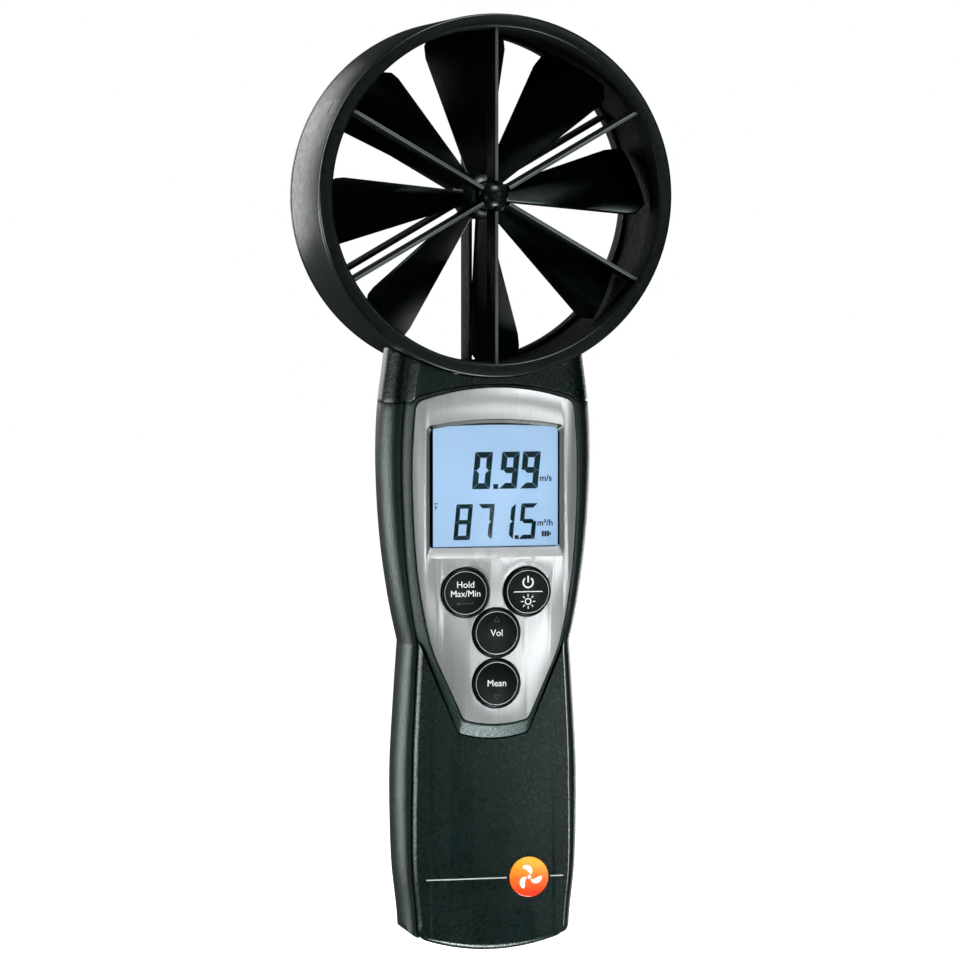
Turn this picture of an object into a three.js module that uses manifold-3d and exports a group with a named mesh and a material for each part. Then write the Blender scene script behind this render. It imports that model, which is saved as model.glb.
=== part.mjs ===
// Vane anemometer: a 100 mm impeller in a guarded ring on a hand-held instrument with a display.
// Millimetres. +Z runs up the instrument, the display faces -Y, and +X is to the right of it.
// The origin is at the bottom of the handle, midway between the ring's front and rear planes.
import * as THREE from 'three';
import { mergeVertices } from 'three/addons/utils/BufferGeometryUtils.js';
import Module from 'manifold-3d';

const wasm = await Module();
wasm.setup();

// ---------------------------------------------------------------- driving dimensions
const GAP = 0.3;                 // clearance between neighbouring pieces

const RING_Z = 223.8;            // height of the impeller axis
const RING_OUTER = 53.2;
const RING_BORE = 50;
const RING_HALF_DEPTH = 22.5;
const RING_SIDES = 48;
const GUARD_RIM_DEPTH = 2.7;
const GUARD_SLEEVE_OUTER = 49.7;
const GUARD_SLEEVE_INNER = 48.9;
const GUARD_SLEEVE_DEPTH = 6;
const GUARD_HUB_RADIUS = 4.0;
const GUARD_HUB_FRONT = 20.0;    // distance of the hub's outer end from the ring's middle plane
const GUARD_INNER = 10.8;        // the guards stop here, clear of the blades
const SPOKE_OUTER = 21.6;
const SPOKE_ANGLES = [90, 30, -30, -90, -150, 150];
const SPOKE_THICK = 1.0;
const CAP_RADIUS = 4.25;
const CAP_FRONT = 22.4;

const BLADE_COUNT = 8;
const BLADE_PITCH = 45;
const BLADE_START = 6;           // angle of the first blade from +X
const BLADE_THICK = 1.0;
const BLADE_TIP_RADIUS = 49.2;
const BLADE_OUTLINE = [           // distance from the axis, chord; the leading edge comes first
  [4, -2.4], [42.5, -13.8], [45.6, -13.8], [51, -9], [51, 11.5], [46, 13.8], [42.5, 13.8], [4, 2.4],
];
const BLADE_SWEEP_HALF = 9.7;    // half the axial depth that the blades sweep
const IMPELLER_HUB = { radius: 6.7, halfDepth: 7.4, noseRadius: 4.6, noseHalfDepth: 9.6 };
const SHAFT_RADIUS = 1.0;
const SHAFT_HALF_LENGTH = 16.8;
const BEARING_RADIUS = 2.4;
const BEARING_HALF_GAP = 11.6;   // the bearings' inner faces, from the ring's middle plane
const BEARING_DEPTH = 3.4;
const BEARING_BACKING = 2.1;     // how far the shaft's hole goes on behind the bearing
const RING_SLOT = { angle: 151, y: -5.5, size: [3, 0.9, 4.8] };
const PICKUP = { x: 0, y: 0, radius: 2.6, flange: 4.4, flangeZ: [164.4, 166.4], standProud: 0.2 };
const PROBE = { x: 8, y: 12.6, radius: 1.2, tipRadius: 0.8, bottom: 164.6, top: 180.2, tip: 181.2 };

const CREASE_Y = -13.6;          // where the sides meet the raised front
const FRONT_Y = -20.3;           // front shell at the centre line
const PLATE_Y = -20.8;           // front of the faceplate at the centre line
const PLATE_THICK = 1.0;
const FRONT_CROWN = 260;         // radius of the crowned front, about a vertical axis
const BACK_Y = 18.5;
const BACK_CORNER = 13;           // how far the back's corners round in from the sides
const SIDE_Y = -6;               // depth at which the body is widest
const WALL = 2.2;
const NECK_SEAM_Z = 162.8;
const WAIST_Z = 91.4;
const HANDLE_FRONT_Y = -17.4;
const BOTTOM_RISE = 5.1;         // how far the bottom's arc rises at its corners
const BOTTOM_CORNER_X = 25;

// half width of the body and width of its side bands, by height
const HALF_WIDTH_LOWER = [[-4, 25.4], [8, 25.7], [24, 27.4], [40, 28.0], [54, 28.0], [74, 26.9],
  [91.4, 25.7]];
const HALF_WIDTH_UPPER = [[91.4, 25.7], [100, 27.6], [111, 29.5], [121, 30.8], [132, 31.7],
  [146, 32.2], [156, 32.0], [163, 31.5], [173, 30.2], [190, 28.0]];
const BAND_WIDTH = [[-4, 2.8], [20, 3.2], [50, 4.0], [91.4, 3.3], [125, 4.7], [163, 5.3], [190, 5.3]];
const PLATE_HALF_WIDTH = [[85, 17.2], [91, 19.2], [107.5, 22.6], [123, 24.2], [148, 24.8],
  [163.5, 23.8]];
const PLATE_TOP_Z = 167.5;
const PLATE_CORNER_Z = 163.2;
const PLATE_VEE_X = 9.7;
const PLATE_VEE_Z = 69.6;
const PLATE_BOTTOM_Z = 68.2;
const SKIRT_TOP_Z = 92.3;
const SKIRT_VEE_X = 10.6;
const SKIRT_VEE_Z = 65.2;
const SKIRT_BOTTOM_Z = 63.5;

const DISPLAY = { halfWidth: 20.4, bottom: 119.8, corner: 155.8, top: 157.7 };
const DISPLAY_FRAME = { back: -16.2, outer: 1.6, inner: 0.2 };
const DISPLAY_WINDOW_THICK = 0.8;
const DISPLAY_MODULE_THICK = 5.0;

const BUTTON_RADIUS = 7.0;
const BUTTON_HOLE = 7.3;
const BUTTON_FLANGE = 7.42;
const BUTTON_FRONT = -21.7;
const BUTTON_STEM_END = -12.3;
const BUTTONS = {
  hold: [-9.5, 107.2],
  power: [9.5, 107.2],
  volume: [0, 95.2],
  mean: [0, 80.2],
};

const BOARD = { halfWidth: 19, bottom: 77, top: 159, front: -9.4, back: -7.8 };
const BOARD_POSTS = [[-13, 91], [13, 91]];
const HOUSING_SCREWS = { middle: [20.2, 111.2], lower: [17.5, 71.2] };
const NECK_SCREW = [14, 167.2];
const NECK_CAVITY = { halfWidth: 21, front: -16.5, back: 12.5, top: 166.8 };
const SCREW_HEAD = 2.9;
const SCREW_SHANK = 1.3;
const HOUSING_SCREW_SEAT = 14.5;
const NECK_SCREW_SEAT = 16.2;
const POST_RADIUS = 3.0;
const POST_FRONT = -17.8;
const POST_BACK = 3.0;
const BOSS = { radius: 4.2, front: 3.4, back: 17.2 };
const BOARD_POST_RADIUS = 2.4;
const BOARD_SCREW = { head: 1.9, shank: 1.0, headDepth: 1.3, tip: -14.6 };

const COVER = {
  halfWidth: 16,
  top: 63,
  inside: 15.8,
  tongue: { halfWidth: 5, front: 14.2 },
  groove: { count: 5, halfWidth: 8, deep: 0.5, bottom: 50, pitch: 2, height: 0.9 },
};
const BATTERY = {
  size: [26.5, 17.5, 46.5],
  bottom: 8.5,
  middleY: 5,
  contacts: { x: 6.4, stud: 2.8, socket: 3.8, rise: 2.2 },
};
const CLIP_HEIGHT = 4;
const BADGE = { at: [10.9, 21.7], radius: 6.0, standProud: 0.35, seatDepth: 0.6 };

// ---------------------------------------------------------------- materials
const finish = (color, roughness, metalness = 0) =>
  new THREE.MeshStandardMaterial({ color, roughness, metalness });
const HOUSING_BLACK = finish(0x1b211f, 0.6);
const SATIN_BLACK = finish(0x121414, 0.35);
const BLADE_BLACK = finish(0x0b0c0c, 0.4);
const GLOSS_BLACK = finish(0x08090a, 0.2);
const BRUSHED_SILVER = finish(0xb9c0c4, 0.35, 0.9);
const STEEL = finish(0xb0b4b8, 0.3, 1);
const BRASS = finish(0xb08a45, 0.35, 1);
const RUBBER_GREY = finish(0x3a3d40, 0.8);
const CLEAR = finish(0xdfeaf2, 0.05);
const SCREEN_BLUE = finish(0xa3c6e8, 0.5);
const BOARD_GREEN = finish(0x1d5a38, 0.55);
const BATTERY_GREY = finish(0x50565c, 0.4, 0.4);
const SIGNAL_ORANGE = finish(0xe0561a, 0.35);
const LEAD_RED = finish(0xa81818, 0.5);
const LEAD_BLACK = finish(0x101010, 0.5);

// ---------------------------------------------------------------- solids
// a manifold solid of a closed geometry, turned right side out where its triangles face inwards
function solid(geometry) {
  geometry.deleteAttribute('normal');
  geometry.deleteAttribute('uv');
  const merged = mergeVertices(geometry, 1e-4);
  const vertProperties = merged.attributes.position.array;
  const triVerts = new Uint32Array(merged.index.array);
  const build = () => new wasm.Manifold(new wasm.Mesh({ numProp: 3, vertProperties, triVerts }));
  const first = build();
  if (first.volume() > 0) return first;
  for (let i = 0; i < triVerts.length; i += 3) {
    [triVerts[i], triVerts[i + 1]] = [triVerts[i + 1], triVerts[i]];
  }
  return build();
}

function geometryOf(manifold) {
  const mesh = manifold.getMesh();
  const geometry = new THREE.BufferGeometry();
  geometry.setAttribute('position', new THREE.BufferAttribute(new Float32Array(mesh.vertProperties), 3));
  geometry.setIndex(new THREE.BufferAttribute(new Uint32Array(mesh.triVerts), 1));
  geometry.computeVertexNormals();
  return geometry;
}

const join = (...parts) => parts.reduce((a, b) => a.add(b));
const cut = (body, ...tools) => tools.reduce((a, b) => a.subtract(b), body);

function box(lo, hi) {
  const size = hi.map((v, i) => v - lo[i]);
  const middle = hi.map((v, i) => (v + lo[i]) / 2);
  return solid(new THREE.BoxGeometry(...size).translate(...middle));
}

// a cylinder along Y at (x, z), from y0 to y1
function rodY(radius, y0, y1, x = 0, z = RING_Z, sides = 24) {
  return solid(new THREE.CylinderGeometry(radius, radius, y1 - y0, sides).translate(x, (y0 + y1) / 2, z));
}

// a cylinder along Z at (x, y), from z0 to z1
function rodZ(radius, x, y, z0, z1, sides = 20) {
  const geometry = new THREE.CylinderGeometry(radius, radius, z1 - z0, sides).rotateX(Math.PI / 2);
  return solid(geometry.translate(x, y, (z0 + z1) / 2));
}

// a body of revolution about the Y axis through (x, z); the profile is a list of [radius, y] that
// starts and ends on the axis, or closes on itself
function turned(profile, x = 0, z = RING_Z, sides = 24) {
  const onAxis = profile[0][0] === 0;
  const points = [...profile, ...(onAxis ? [] : [profile[0]])].map(([r, y]) => new THREE.Vector2(r, y));
  return solid(new THREE.LatheGeometry(points, sides).translate(x, 0, z));
}

// an outline of [x, z] points, extruded along Y from y0 to y1
function prismY(outline, y0, y1) {
  const shape = new THREE.Shape(outline.map(([x, z]) => new THREE.Vector2(x, z)));
  const geometry = new THREE.ExtrudeGeometry(shape, { depth: y1 - y0, bevelEnabled: false });
  return solid(geometry.rotateX(Math.PI / 2).translate(0, y1, 0));
}

// an outline of [x, y] points, extruded along Z from z0 to z1
function prismZ(outline, z0, z1) {
  const shape = new THREE.Shape(outline.map(([x, y]) => new THREE.Vector2(x, y)));
  const geometry = new THREE.ExtrudeGeometry(shape, { depth: z1 - z0, bevelEnabled: false });
  return solid(geometry.translate(0, 0, z0));
}

// a skin through closed loops of equal length, with a fan of triangles over each end
function loft(loops) {
  const count = loops[0].length;
  const centre = (loop) => loop.reduce((a, p) => a.add(p), new THREE.Vector3()).divideScalar(count);
  const positions = [...loops.flat(), centre(loops[0]), centre(loops[loops.length - 1])];
  const firstCentre = loops.length * count;
  const index = [];
  for (let k = 0; k < count; k += 1) {
    const next = (k + 1) % count;
    for (let row = 0; row < loops.length - 1; row += 1) {
      const a = row * count;
      const b = a + count;
      index.push(a + k, a + next, b + next, a + k, b + next, b + k);
    }
    const last = (loops.length - 1) * count;
    index.push(firstCentre, next, k, firstCentre + 1, last + k, last + next);
  }
  const geometry = new THREE.BufferGeometry().setFromPoints(positions);
  geometry.setIndex(index);
  return solid(geometry);
}

// a smooth curve through [position, value] rows
function curveThrough(rows, Interpolant = THREE.CubicInterpolant) {
  const positions = rows.map((row) => row[0]);
  const values = rows.map((row) => row[1]);
  const interpolant = new Interpolant(positions, values, 1, [0]);
  return (at) => interpolant.evaluate(at)[0];
}

const range = (from, to, steps) => Array.from({ length: steps + 1 },
  (_, i) => from + ((to - from) * i) / steps);
const radians = (degrees) => (degrees * Math.PI) / 180;
const mirrored = (half) => [...half, ...half.filter(([x]) => x !== 0).reverse().map(([x, z]) => [-x, z])];

// ---------------------------------------------------------------- outlines of the body
const lowerWidth = curveThrough(HALF_WIDTH_LOWER);
const upperWidth = curveThrough(HALF_WIDTH_UPPER);
const bandWidth = curveThrough(BAND_WIDTH, THREE.LinearInterpolant);
const plateWidth = curveThrough(PLATE_HALF_WIDTH);
const halfWidth = (z) => (z < WAIST_Z ? lowerWidth(z) : upperWidth(z));
const creaseX = (z) => halfWidth(z) - bandWidth(z);

// the front shape of faceplate and front shell: arched top, curved sides, vee with an arched bottom
function frontOutline({ top, cornerZ, sideX, veeTop, veeX, veeZ, bottom }) {
  const cornerX = sideX(cornerZ);
  const rounding = 2.0;
  const arch = range(0, cornerX - rounding, 5).map((x) => [x, top - (top - cornerZ) * (x / cornerX) ** 2]);
  const side = range(cornerZ - rounding, veeTop, 7).map((z) => [sideX(z), z]);
  const veeLength = Math.hypot(sideX(veeTop) - veeX, veeTop - veeZ);
  const back = 1.4 / veeLength;
  const vee = range(0.25, 1 - back, 3).map((t) => [
    THREE.MathUtils.lerp(sideX(veeTop), veeX, t),
    THREE.MathUtils.lerp(veeTop, veeZ, t),
  ]);
  const foot = range(veeX - 1.2, 0, 4).map((x) => [x, bottom + (veeZ - bottom) * (x / veeX) ** 2]);
  const corner = [cornerX - 0.35 * rounding, cornerZ - 0.2 * rounding];
  return mirrored([...arch, corner, ...side, ...vee, ...foot]);
}

const plateOutline = (grow) => frontOutline({
  top: PLATE_TOP_Z + grow,
  cornerZ: PLATE_CORNER_Z + grow,
  sideX: (z) => plateWidth(z) + grow,
  veeTop: 89.3,
  veeX: PLATE_VEE_X + grow * 0.8,
  veeZ: PLATE_VEE_Z - grow * 0.7,
  bottom: PLATE_BOTTOM_Z - grow,
});

const skirtOutline = (sideInset, grow) => frontOutline({
  top: PLATE_TOP_Z + 1 + grow,
  cornerZ: PLATE_CORNER_Z + 1 + grow,
  sideX: (z) => creaseX(z) - GAP - sideInset + grow,
  veeTop: SKIRT_TOP_Z,
  veeX: SKIRT_VEE_X + grow * 0.8,
  veeZ: SKIRT_VEE_Z - grow * 0.7,
  bottom: SKIRT_BOTTOM_Z - grow,
});

const atDepth = (outline, y) => outline.map(([x, z]) => new THREE.Vector3(x, y, z));

// everything behind a crowned surface whose centre line is at y
function behindCrown(y) {
  const edge = range(-36, 36, 12).map((x) => [x, y + x ** 2 / (2 * FRONT_CROWN)]);
  return prismZ([...edge, [36, 30], [-36, 30]], -20, 210);
}

// the raised front with its sloping skirt; `deep` is how far back it reaches
function raisedFront(grow, deep) {
  const levels = [
    [plateOutline(0.9 + grow), FRONT_Y - 0.5],
    [skirtOutline(1.0, grow), -17.2],
    [skirtOutline(0, grow), CREASE_Y],
    [skirtOutline(0, grow), deep],
  ];
  return loft(levels.map(([outline, y]) => atDepth(outline, y)));
}

// the handle's front face, its edges eased and its bottom arched
function handleOutline(inset) {
  const side = (z) => creaseX(z) - GAP - inset;
  const foot = range(0, side(8) - 2.2, 6).map((x) => [x, inset + BOTTOM_RISE * (x / BOTTOM_CORNER_X) ** 2]);
  const corner = [side(8) - 0.6, inset + BOTTOM_RISE * 1.05];
  const flank = range(inset + 7, SKIRT_TOP_Z, 9).map((z) => [side(z), z]);
  return mirrored([...foot, corner, ...flank, [0, SKIRT_TOP_Z]]);
}

// a cross-section of the body at height z, its corners rounded, with a flat front at the crease
function bodySection(z, wall = 0) {
  const wide = halfWidth(z) - wall;
  const crease = creaseX(z);
  const back = BACK_Y - wall;
  const cornerX = wide - BACK_CORNER + wall * 0.6;
  const front = wall === 0
    ? range(0, Math.PI / 2, 4).map((t) => [
      crease + (wide - crease) * Math.sin(t),
      CREASE_Y + (SIDE_Y - CREASE_Y) * (1 - Math.cos(t)),
    ])
    : [[crease, CREASE_Y - 10], [crease, CREASE_Y + 2.4], [wide, CREASE_Y + 6], [wide, SIDE_Y]];
  const rear = range(0, Math.PI / 2, 4).map((t) => [
    cornerX + (wide - cornerX) * Math.cos(t),
    SIDE_Y + (back - SIDE_Y) * Math.sin(t),
  ]);
  const half = [...front, ...rear];
  const whole = [...half, ...[...half].reverse().map(([x, y]) => [-x, y])];
  return whole.map(([x, y]) => new THREE.Vector3(x, y, z));
}

const HANDLE_ROWS = [-4, 6, 14, 24, 36, 50, 64, 78, WAIST_Z];
const HEAD_ROWS = [98, 106, 116, 127, 139, 151, NECK_SEAM_Z];
const bodyRows = (wall) => loft([...HANDLE_ROWS, ...HEAD_ROWS].map((z) => bodySection(z, wall)));

// everything above the bottom's arc, raised by `lift`
function aboveBottom(lift = 0) {
  const arc = range(0, 22.5, 6).map((x) => [x, lift + BOTTOM_RISE * (x / BOTTOM_CORNER_X) ** 2]);
  const corner = [[24.4, lift + 5.4], [25.5, lift + 7.4], [25.9, lift + 10]];
  return prismY(mirrored([...arc, ...corner, [45, lift + 30], [45, 300]]), -30, 30);
}

// ---------------------------------------------------------------- ring, guards and impeller
// the upright holes that the speed pickup and the temperature probe pass through
const sensorHoles = (bottom, top) => [PICKUP, PROBE].map(({ x, y, radius }) =>
  rodZ(radius + GAP, x, y, bottom, top));

function vaneRing() {
  const front = RING_HALF_DEPTH - GUARD_RIM_DEPTH - GAP;
  const ease = 0.5;
  const ring = turned([
    [RING_BORE, -front], [RING_OUTER - ease, -front], [RING_OUTER, -front + ease],
    [RING_OUTER, front - ease], [RING_OUTER - ease, front], [RING_BORE, front],
  ], 0, RING_Z, RING_SIDES);
  const slotAngle = radians(RING_SLOT.angle);
  const slot = new THREE.BoxGeometry(...RING_SLOT.size)
    .rotateY(-slotAngle)
    .translate(Math.cos(slotAngle) * RING_OUTER, RING_SLOT.y, RING_Z + Math.sin(slotAngle) * RING_OUTER);
  return cut(ring, solid(slot), ...sensorHoles(RING_Z - 56, RING_Z - 44));
}

// a rim with a plug-in sleeve, six spokes and a hub; side is -1 in front and +1 behind
function guard(side) {
  const outer = RING_HALF_DEPTH;
  const inner = RING_HALF_DEPTH - GUARD_RIM_DEPTH;
  const rim = turned([
    [GUARD_SLEEVE_INNER, side * (inner - GUARD_SLEEVE_DEPTH)],
    [GUARD_SLEEVE_OUTER, side * (inner - GUARD_SLEEVE_DEPTH)],
    [GUARD_SLEEVE_OUTER, side * inner],
    [RING_OUTER, side * inner],
    [RING_OUTER, side * (outer - 0.8)],
    [RING_OUTER - 0.8, side * outer],
    [RING_BORE + 0.2, side * outer],
    [GUARD_SLEEVE_INNER, side * (outer - 0.6)],
  ], 0, RING_Z, RING_SIDES);
  const hub = rodY(GUARD_HUB_RADIUS, Math.min(side * GUARD_INNER, side * GUARD_HUB_FRONT),
    Math.max(side * GUARD_INNER, side * GUARD_HUB_FRONT));
  const spokes = SPOKE_ANGLES.map((angle) => {
    const length = GUARD_SLEEVE_OUTER - 0.4;
    const depth = SPOKE_OUTER - GUARD_INNER;
    const plate = new THREE.BoxGeometry(length, depth, SPOKE_THICK)
      .translate(length / 2, (side * (SPOKE_OUTER + GUARD_INNER)) / 2, 0)
      .rotateY(-radians(angle))
      .translate(0, 0, RING_Z);
    return solid(plate);
  });
  const bearingSeat = [side * (GUARD_INNER - 1), side * (BEARING_HALF_GAP + BEARING_DEPTH + GAP)];
  const capSocket = [side * (CAP_FRONT - CAP_RADIUS - GAP), side * 30];
  const shaftHole = [0, side * (BEARING_HALF_GAP + BEARING_DEPTH + GAP + BEARING_BACKING)];
  const bore = (radius, ends) => rodY(radius, Math.min(...ends), Math.max(...ends));
  return cut(join(rim, hub, ...spokes),
    bore(BEARING_RADIUS + GAP, bearingSeat),
    bore(SHAFT_RADIUS + 0.4, shaftHole),
    bore(CAP_RADIUS + GAP, capSocket));
}

// the rounded cap on a guard's hub
function hubCap(side) {
  const base = CAP_FRONT - CAP_RADIUS;
  const dome = range(0, Math.PI / 2, 4).map((t) => [
    t === Math.PI / 2 ? 0 : CAP_RADIUS * Math.cos(t),
    side * (base + CAP_RADIUS * Math.sin(t)),
  ]);
  return turned([[0, side * base], ...dome]);
}

function bearing(side) {
  const bore = SHAFT_RADIUS + GAP;
  const near = side * BEARING_HALF_GAP;
  const far = side * (BEARING_HALF_GAP + BEARING_DEPTH);
  return turned([[bore, near], [BEARING_RADIUS, near], [BEARING_RADIUS, far], [bore, far]], 0, RING_Z, 16);
}

function impeller() {
  const blade = new THREE.Shape(BLADE_OUTLINE.map(([r, chord]) => new THREE.Vector2(r, chord)));
  const sweep = rodY(BLADE_TIP_RADIUS, -BLADE_SWEEP_HALF, BLADE_SWEEP_HALF, 0, RING_Z, RING_SIDES);
  const blades = range(0, BLADE_COUNT - 1, BLADE_COUNT - 1).map((k) => {
    const plate = new THREE.ExtrudeGeometry(blade, { depth: BLADE_THICK, bevelEnabled: false })
      .translate(0, 0, -BLADE_THICK / 2)
      .rotateX(radians(BLADE_PITCH))
      .rotateY(-radians(BLADE_START + (k * 360) / BLADE_COUNT))
      .translate(0, 0, RING_Z);
    return solid(plate).intersect(sweep);
  });
  const { radius, halfDepth, noseRadius, noseHalfDepth } = IMPELLER_HUB;
  const hub = turned([
    [0, -noseHalfDepth], [noseRadius, -noseHalfDepth], [radius, -halfDepth],
    [radius, halfDepth], [noseRadius, noseHalfDepth], [0, noseHalfDepth],
  ]);
  return cut(join(hub, ...blades), rodY(SHAFT_RADIUS + GAP, -30, 30));
}

function impellerShaft() {
  const end = SHAFT_HALF_LENGTH;
  const point = 0.5;
  return turned([
    [0, -end], [SHAFT_RADIUS - point, -end], [SHAFT_RADIUS, -end + point],
    [SHAFT_RADIUS, end - point], [SHAFT_RADIUS - point, end], [0, end],
  ], 0, RING_Z, 16);
}

// ---------------------------------------------------------------- housing
function neckSection(z) {
  const wide = halfWidth(z);
  const crease = creaseX(z) - 0.2;
  const side = range(0, Math.PI / 2, 4).map((t) => [
    crease + (wide - crease) * Math.sin(t),
    CREASE_Y + (SIDE_Y - CREASE_Y) * (1 - Math.cos(t)),
  ]);
  const rear = range(0, Math.PI / 2, 4).map((t) => [
    wide - BACK_CORNER * (1 - Math.cos(t)),
    SIDE_Y + (BACK_Y - SIDE_Y) * Math.sin(t),
  ]);
  const face = range(0.2, 1, 4).map((t) => [t * (crease - 1.6), FRONT_Y + (t * (crease - 1.6)) ** 2 / 520]);
  const half = [...face, ...side, ...rear];
  const whole = [...half, ...[...half].reverse().map(([x, y]) => [-x, y])];
  return whole.map(([x, y]) => new THREE.Vector3(x, y, z));
}

// a pair of holes with a wide mouth for the screw's head, from `seat` to the back, and a narrow bore
function screwHoles([x, z], seat, boreEnd) {
  return [-x, x].flatMap((side) => [
    rodY(SCREW_HEAD + GAP, seat, 24, side, z, 20),
    rodY(SCREW_SHANK + GAP, boreEnd, seat + 0.5, side, z, 12),
  ]);
}

function neckCradle() {
  const rows = [NECK_SEAM_Z + GAP, 168, 172, 177, 183];
  const body = loft(rows.map(neckSection));
  const saddle = rodY(RING_OUTER + GAP, -40, 40, 0, RING_Z, RING_SIDES);
  const cavity = box([-NECK_CAVITY.halfWidth, NECK_CAVITY.front, 150],
    [NECK_CAVITY.halfWidth, NECK_CAVITY.back, NECK_CAVITY.top]);
  const frontShellSpace = raisedFront(GAP, -9);
  const screws = screwHoles(NECK_SCREW, NECK_SCREW_SEAT, 10);
  return cut(body, saddle, cavity, frontShellSpace, ...screws, ...sensorHoles(160, 180));
}

const windowOutline = (grow) => mirrored([
  ...range(0, DISPLAY.halfWidth + grow - 1.2, 4).map((x) => [
    x, DISPLAY.top + grow - (DISPLAY.top - DISPLAY.corner) * (x / DISPLAY.halfWidth) ** 2,
  ]),
  [DISPLAY.halfWidth + grow - 0.3, DISPLAY.corner + grow - 0.5],
  [DISPLAY.halfWidth + grow, DISPLAY.corner + grow - 1.6],
  [DISPLAY.halfWidth + grow, DISPLAY.bottom - grow + 1],
  [DISPLAY.halfWidth + grow - 1, DISPLAY.bottom - grow],
  [0, DISPLAY.bottom - grow],
]);

const buttonHoles = (radius) => Object.values(BUTTONS).map(([x, z]) => rodY(radius, -30, -15, x, z, 24));

function faceplate() {
  const slab = behindCrown(PLATE_Y).subtract(behindCrown(PLATE_Y + PLATE_THICK));
  const plate = prismY(plateOutline(0), -26, -10).intersect(slab);
  return cut(plate, prismY(windowOutline(0), -30, -10), ...buttonHoles(BUTTON_HOLE));
}

// a pair of posts behind a front piece, and the pilot bores that its screws bite into
const posts = ([x, z], front) => [-x, x].map((side) => rodY(POST_RADIUS, front, POST_BACK, side, z, 16));
const pilots = ([x, z]) => [-x, x].map((side) => rodY(SCREW_SHANK + GAP, -12, 10, side, z, 12));
const boardPosts = (grow, front, back) => BOARD_POSTS.map(([x, z]) =>
  rodY(BOARD_POST_RADIUS + grow, front, back, x, z, 14));
const boardPilots = (front) => BOARD_POSTS.map(([x, z]) =>
  rodY(BOARD_SCREW.shank + GAP, front, 10, x, z, 12));

// an outline drawn in towards the middle of the front, by a share of its width and of its height
const drawnIn = (outline, acrossShare, upShare, middleZ = 116) =>
  outline.map(([x, z]) => [x * acrossShare, middleZ + (z - middleZ) * upShare]);

function upperFrontShell() {
  const deep = -11.6;
  const floorY = -17.6;
  const inner = loft([
    atDepth(drawnIn(skirtOutline(2.4, 0), 0.985, 0.95), 0),
    atDepth(drawnIn(plateOutline(-1.4), 0.985, 0.95), floorY),
  ]);
  const shell = raisedFront(0, deep).intersect(behindCrown(FRONT_Y)).subtract(inner);
  const pocket = prismY(plateOutline(0.35), -30, -10).subtract(behindCrown(PLATE_Y + PLATE_THICK + GAP));
  const supports = [
    ...posts(HOUSING_SCREWS.middle, POST_FRONT),
    ...boardPosts(0, POST_FRONT, BOARD.front - GAP),
  ];
  return cut(
    join(shell, ...supports),
    pocket,
    prismY(windowOutline(DISPLAY_FRAME.outer + GAP), -30, -8),
    ...buttonHoles(BUTTON_HOLE),
    ...pilots(HOUSING_SCREWS.middle),
    ...boardPilots(-15.5),
  );
}

function handleFront() {
  const innerY = -15.2;
  const levels = [[-10, 0], [-14.6, 0], [-16.4, 0.7], [HANDLE_FRONT_Y, 2.4]];
  const outer = loft(levels.map(([y, inset]) => atDepth(handleOutline(inset), y)));
  const inner = loft([innerY, 0].map((y) => atDepth(handleOutline(2.4), y)));
  const frontShellSpace = loft([-30, -5].map((y) => atDepth(skirtOutline(0, GAP), y)));
  const badgeSeat = rodY(BADGE.radius + GAP, -30, HANDLE_FRONT_Y + BADGE.seatDepth, ...BADGE.at, 40);
  return cut(join(outer.subtract(inner), ...posts(HOUSING_SCREWS.lower, innerY - 0.8)),
    frontShellSpace, ...pilots(HOUSING_SCREWS.lower), badgeSeat);
}

function bodyShell() {
  const outer = bodyRows(0).intersect(aboveBottom());
  return outer.subtract(bodyRows(WALL).intersect(aboveBottom(3)));
}

// the room that the handle's front takes where it meets the floor of the back shell
function handleFrontSpace() {
  const back = -9.7;
  return box([-23.5, -30, -10], [23.5, back, 20])
    .intersect(loft([-30, back].map((y) => atDepth(handleOutline(-GAP), y))));
}

function backShell() {
  const bosses = Object.values(HOUSING_SCREWS).flatMap(([x, z]) => [-x, x].map((side) =>
    rodY(BOSS.radius, BOSS.front, BOSS.back, side, z, 18).intersect(bodyRows(0))));
  const opening = box([-COVER.halfWidth - GAP, 9, -10], [COVER.halfWidth + GAP, 30, COVER.top + GAP]);
  return cut(join(bodyShell(), ...bosses), opening, handleFrontSpace(),
    ...Object.values(HOUSING_SCREWS).flatMap((at) => screwHoles(at, HOUSING_SCREW_SEAT, -30)));
}

function batteryCover() {
  const { halfWidth: wide, top, inside, tongue, groove } = COVER;
  const panel = bodyRows(0).intersect(aboveBottom())
    .intersect(box([-wide, inside, -10], [wide, 30, top]));
  const catchPlate = box([-tongue.halfWidth, tongue.front, top - 4],
    [tongue.halfWidth, inside + 0.1, top + 3]);
  const grooves = range(0, groove.count - 1, groove.count - 1).map((k) => box(
    [-groove.halfWidth, BACK_Y - groove.deep, groove.bottom + k * groove.pitch],
    [groove.halfWidth, 30, groove.bottom + k * groove.pitch + groove.height],
  ));
  return cut(join(panel, catchPlate), ...grooves);
}

// ---------------------------------------------------------------- display, keys and electronics
function displayFrame() {
  const outer = prismY(windowOutline(DISPLAY_FRAME.outer), -22, DISPLAY_FRAME.back)
    .intersect(behindCrown(PLATE_Y + PLATE_THICK + GAP));
  return outer.subtract(prismY(windowOutline(DISPLAY_FRAME.inner), -30, 0));
}

function displayWindow() {
  const front = DISPLAY_FRAME.back + GAP;
  return prismY(windowOutline(1.2), front, front + DISPLAY_WINDOW_THICK);
}

function displayModule() {
  const front = DISPLAY_FRAME.back + 2 * GAP + DISPLAY_WINDOW_THICK;
  return box([-20.6, front, DISPLAY.bottom - 1.2], [20.6, front + DISPLAY_MODULE_THICK, DISPLAY.top + 0.6]);
}

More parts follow.
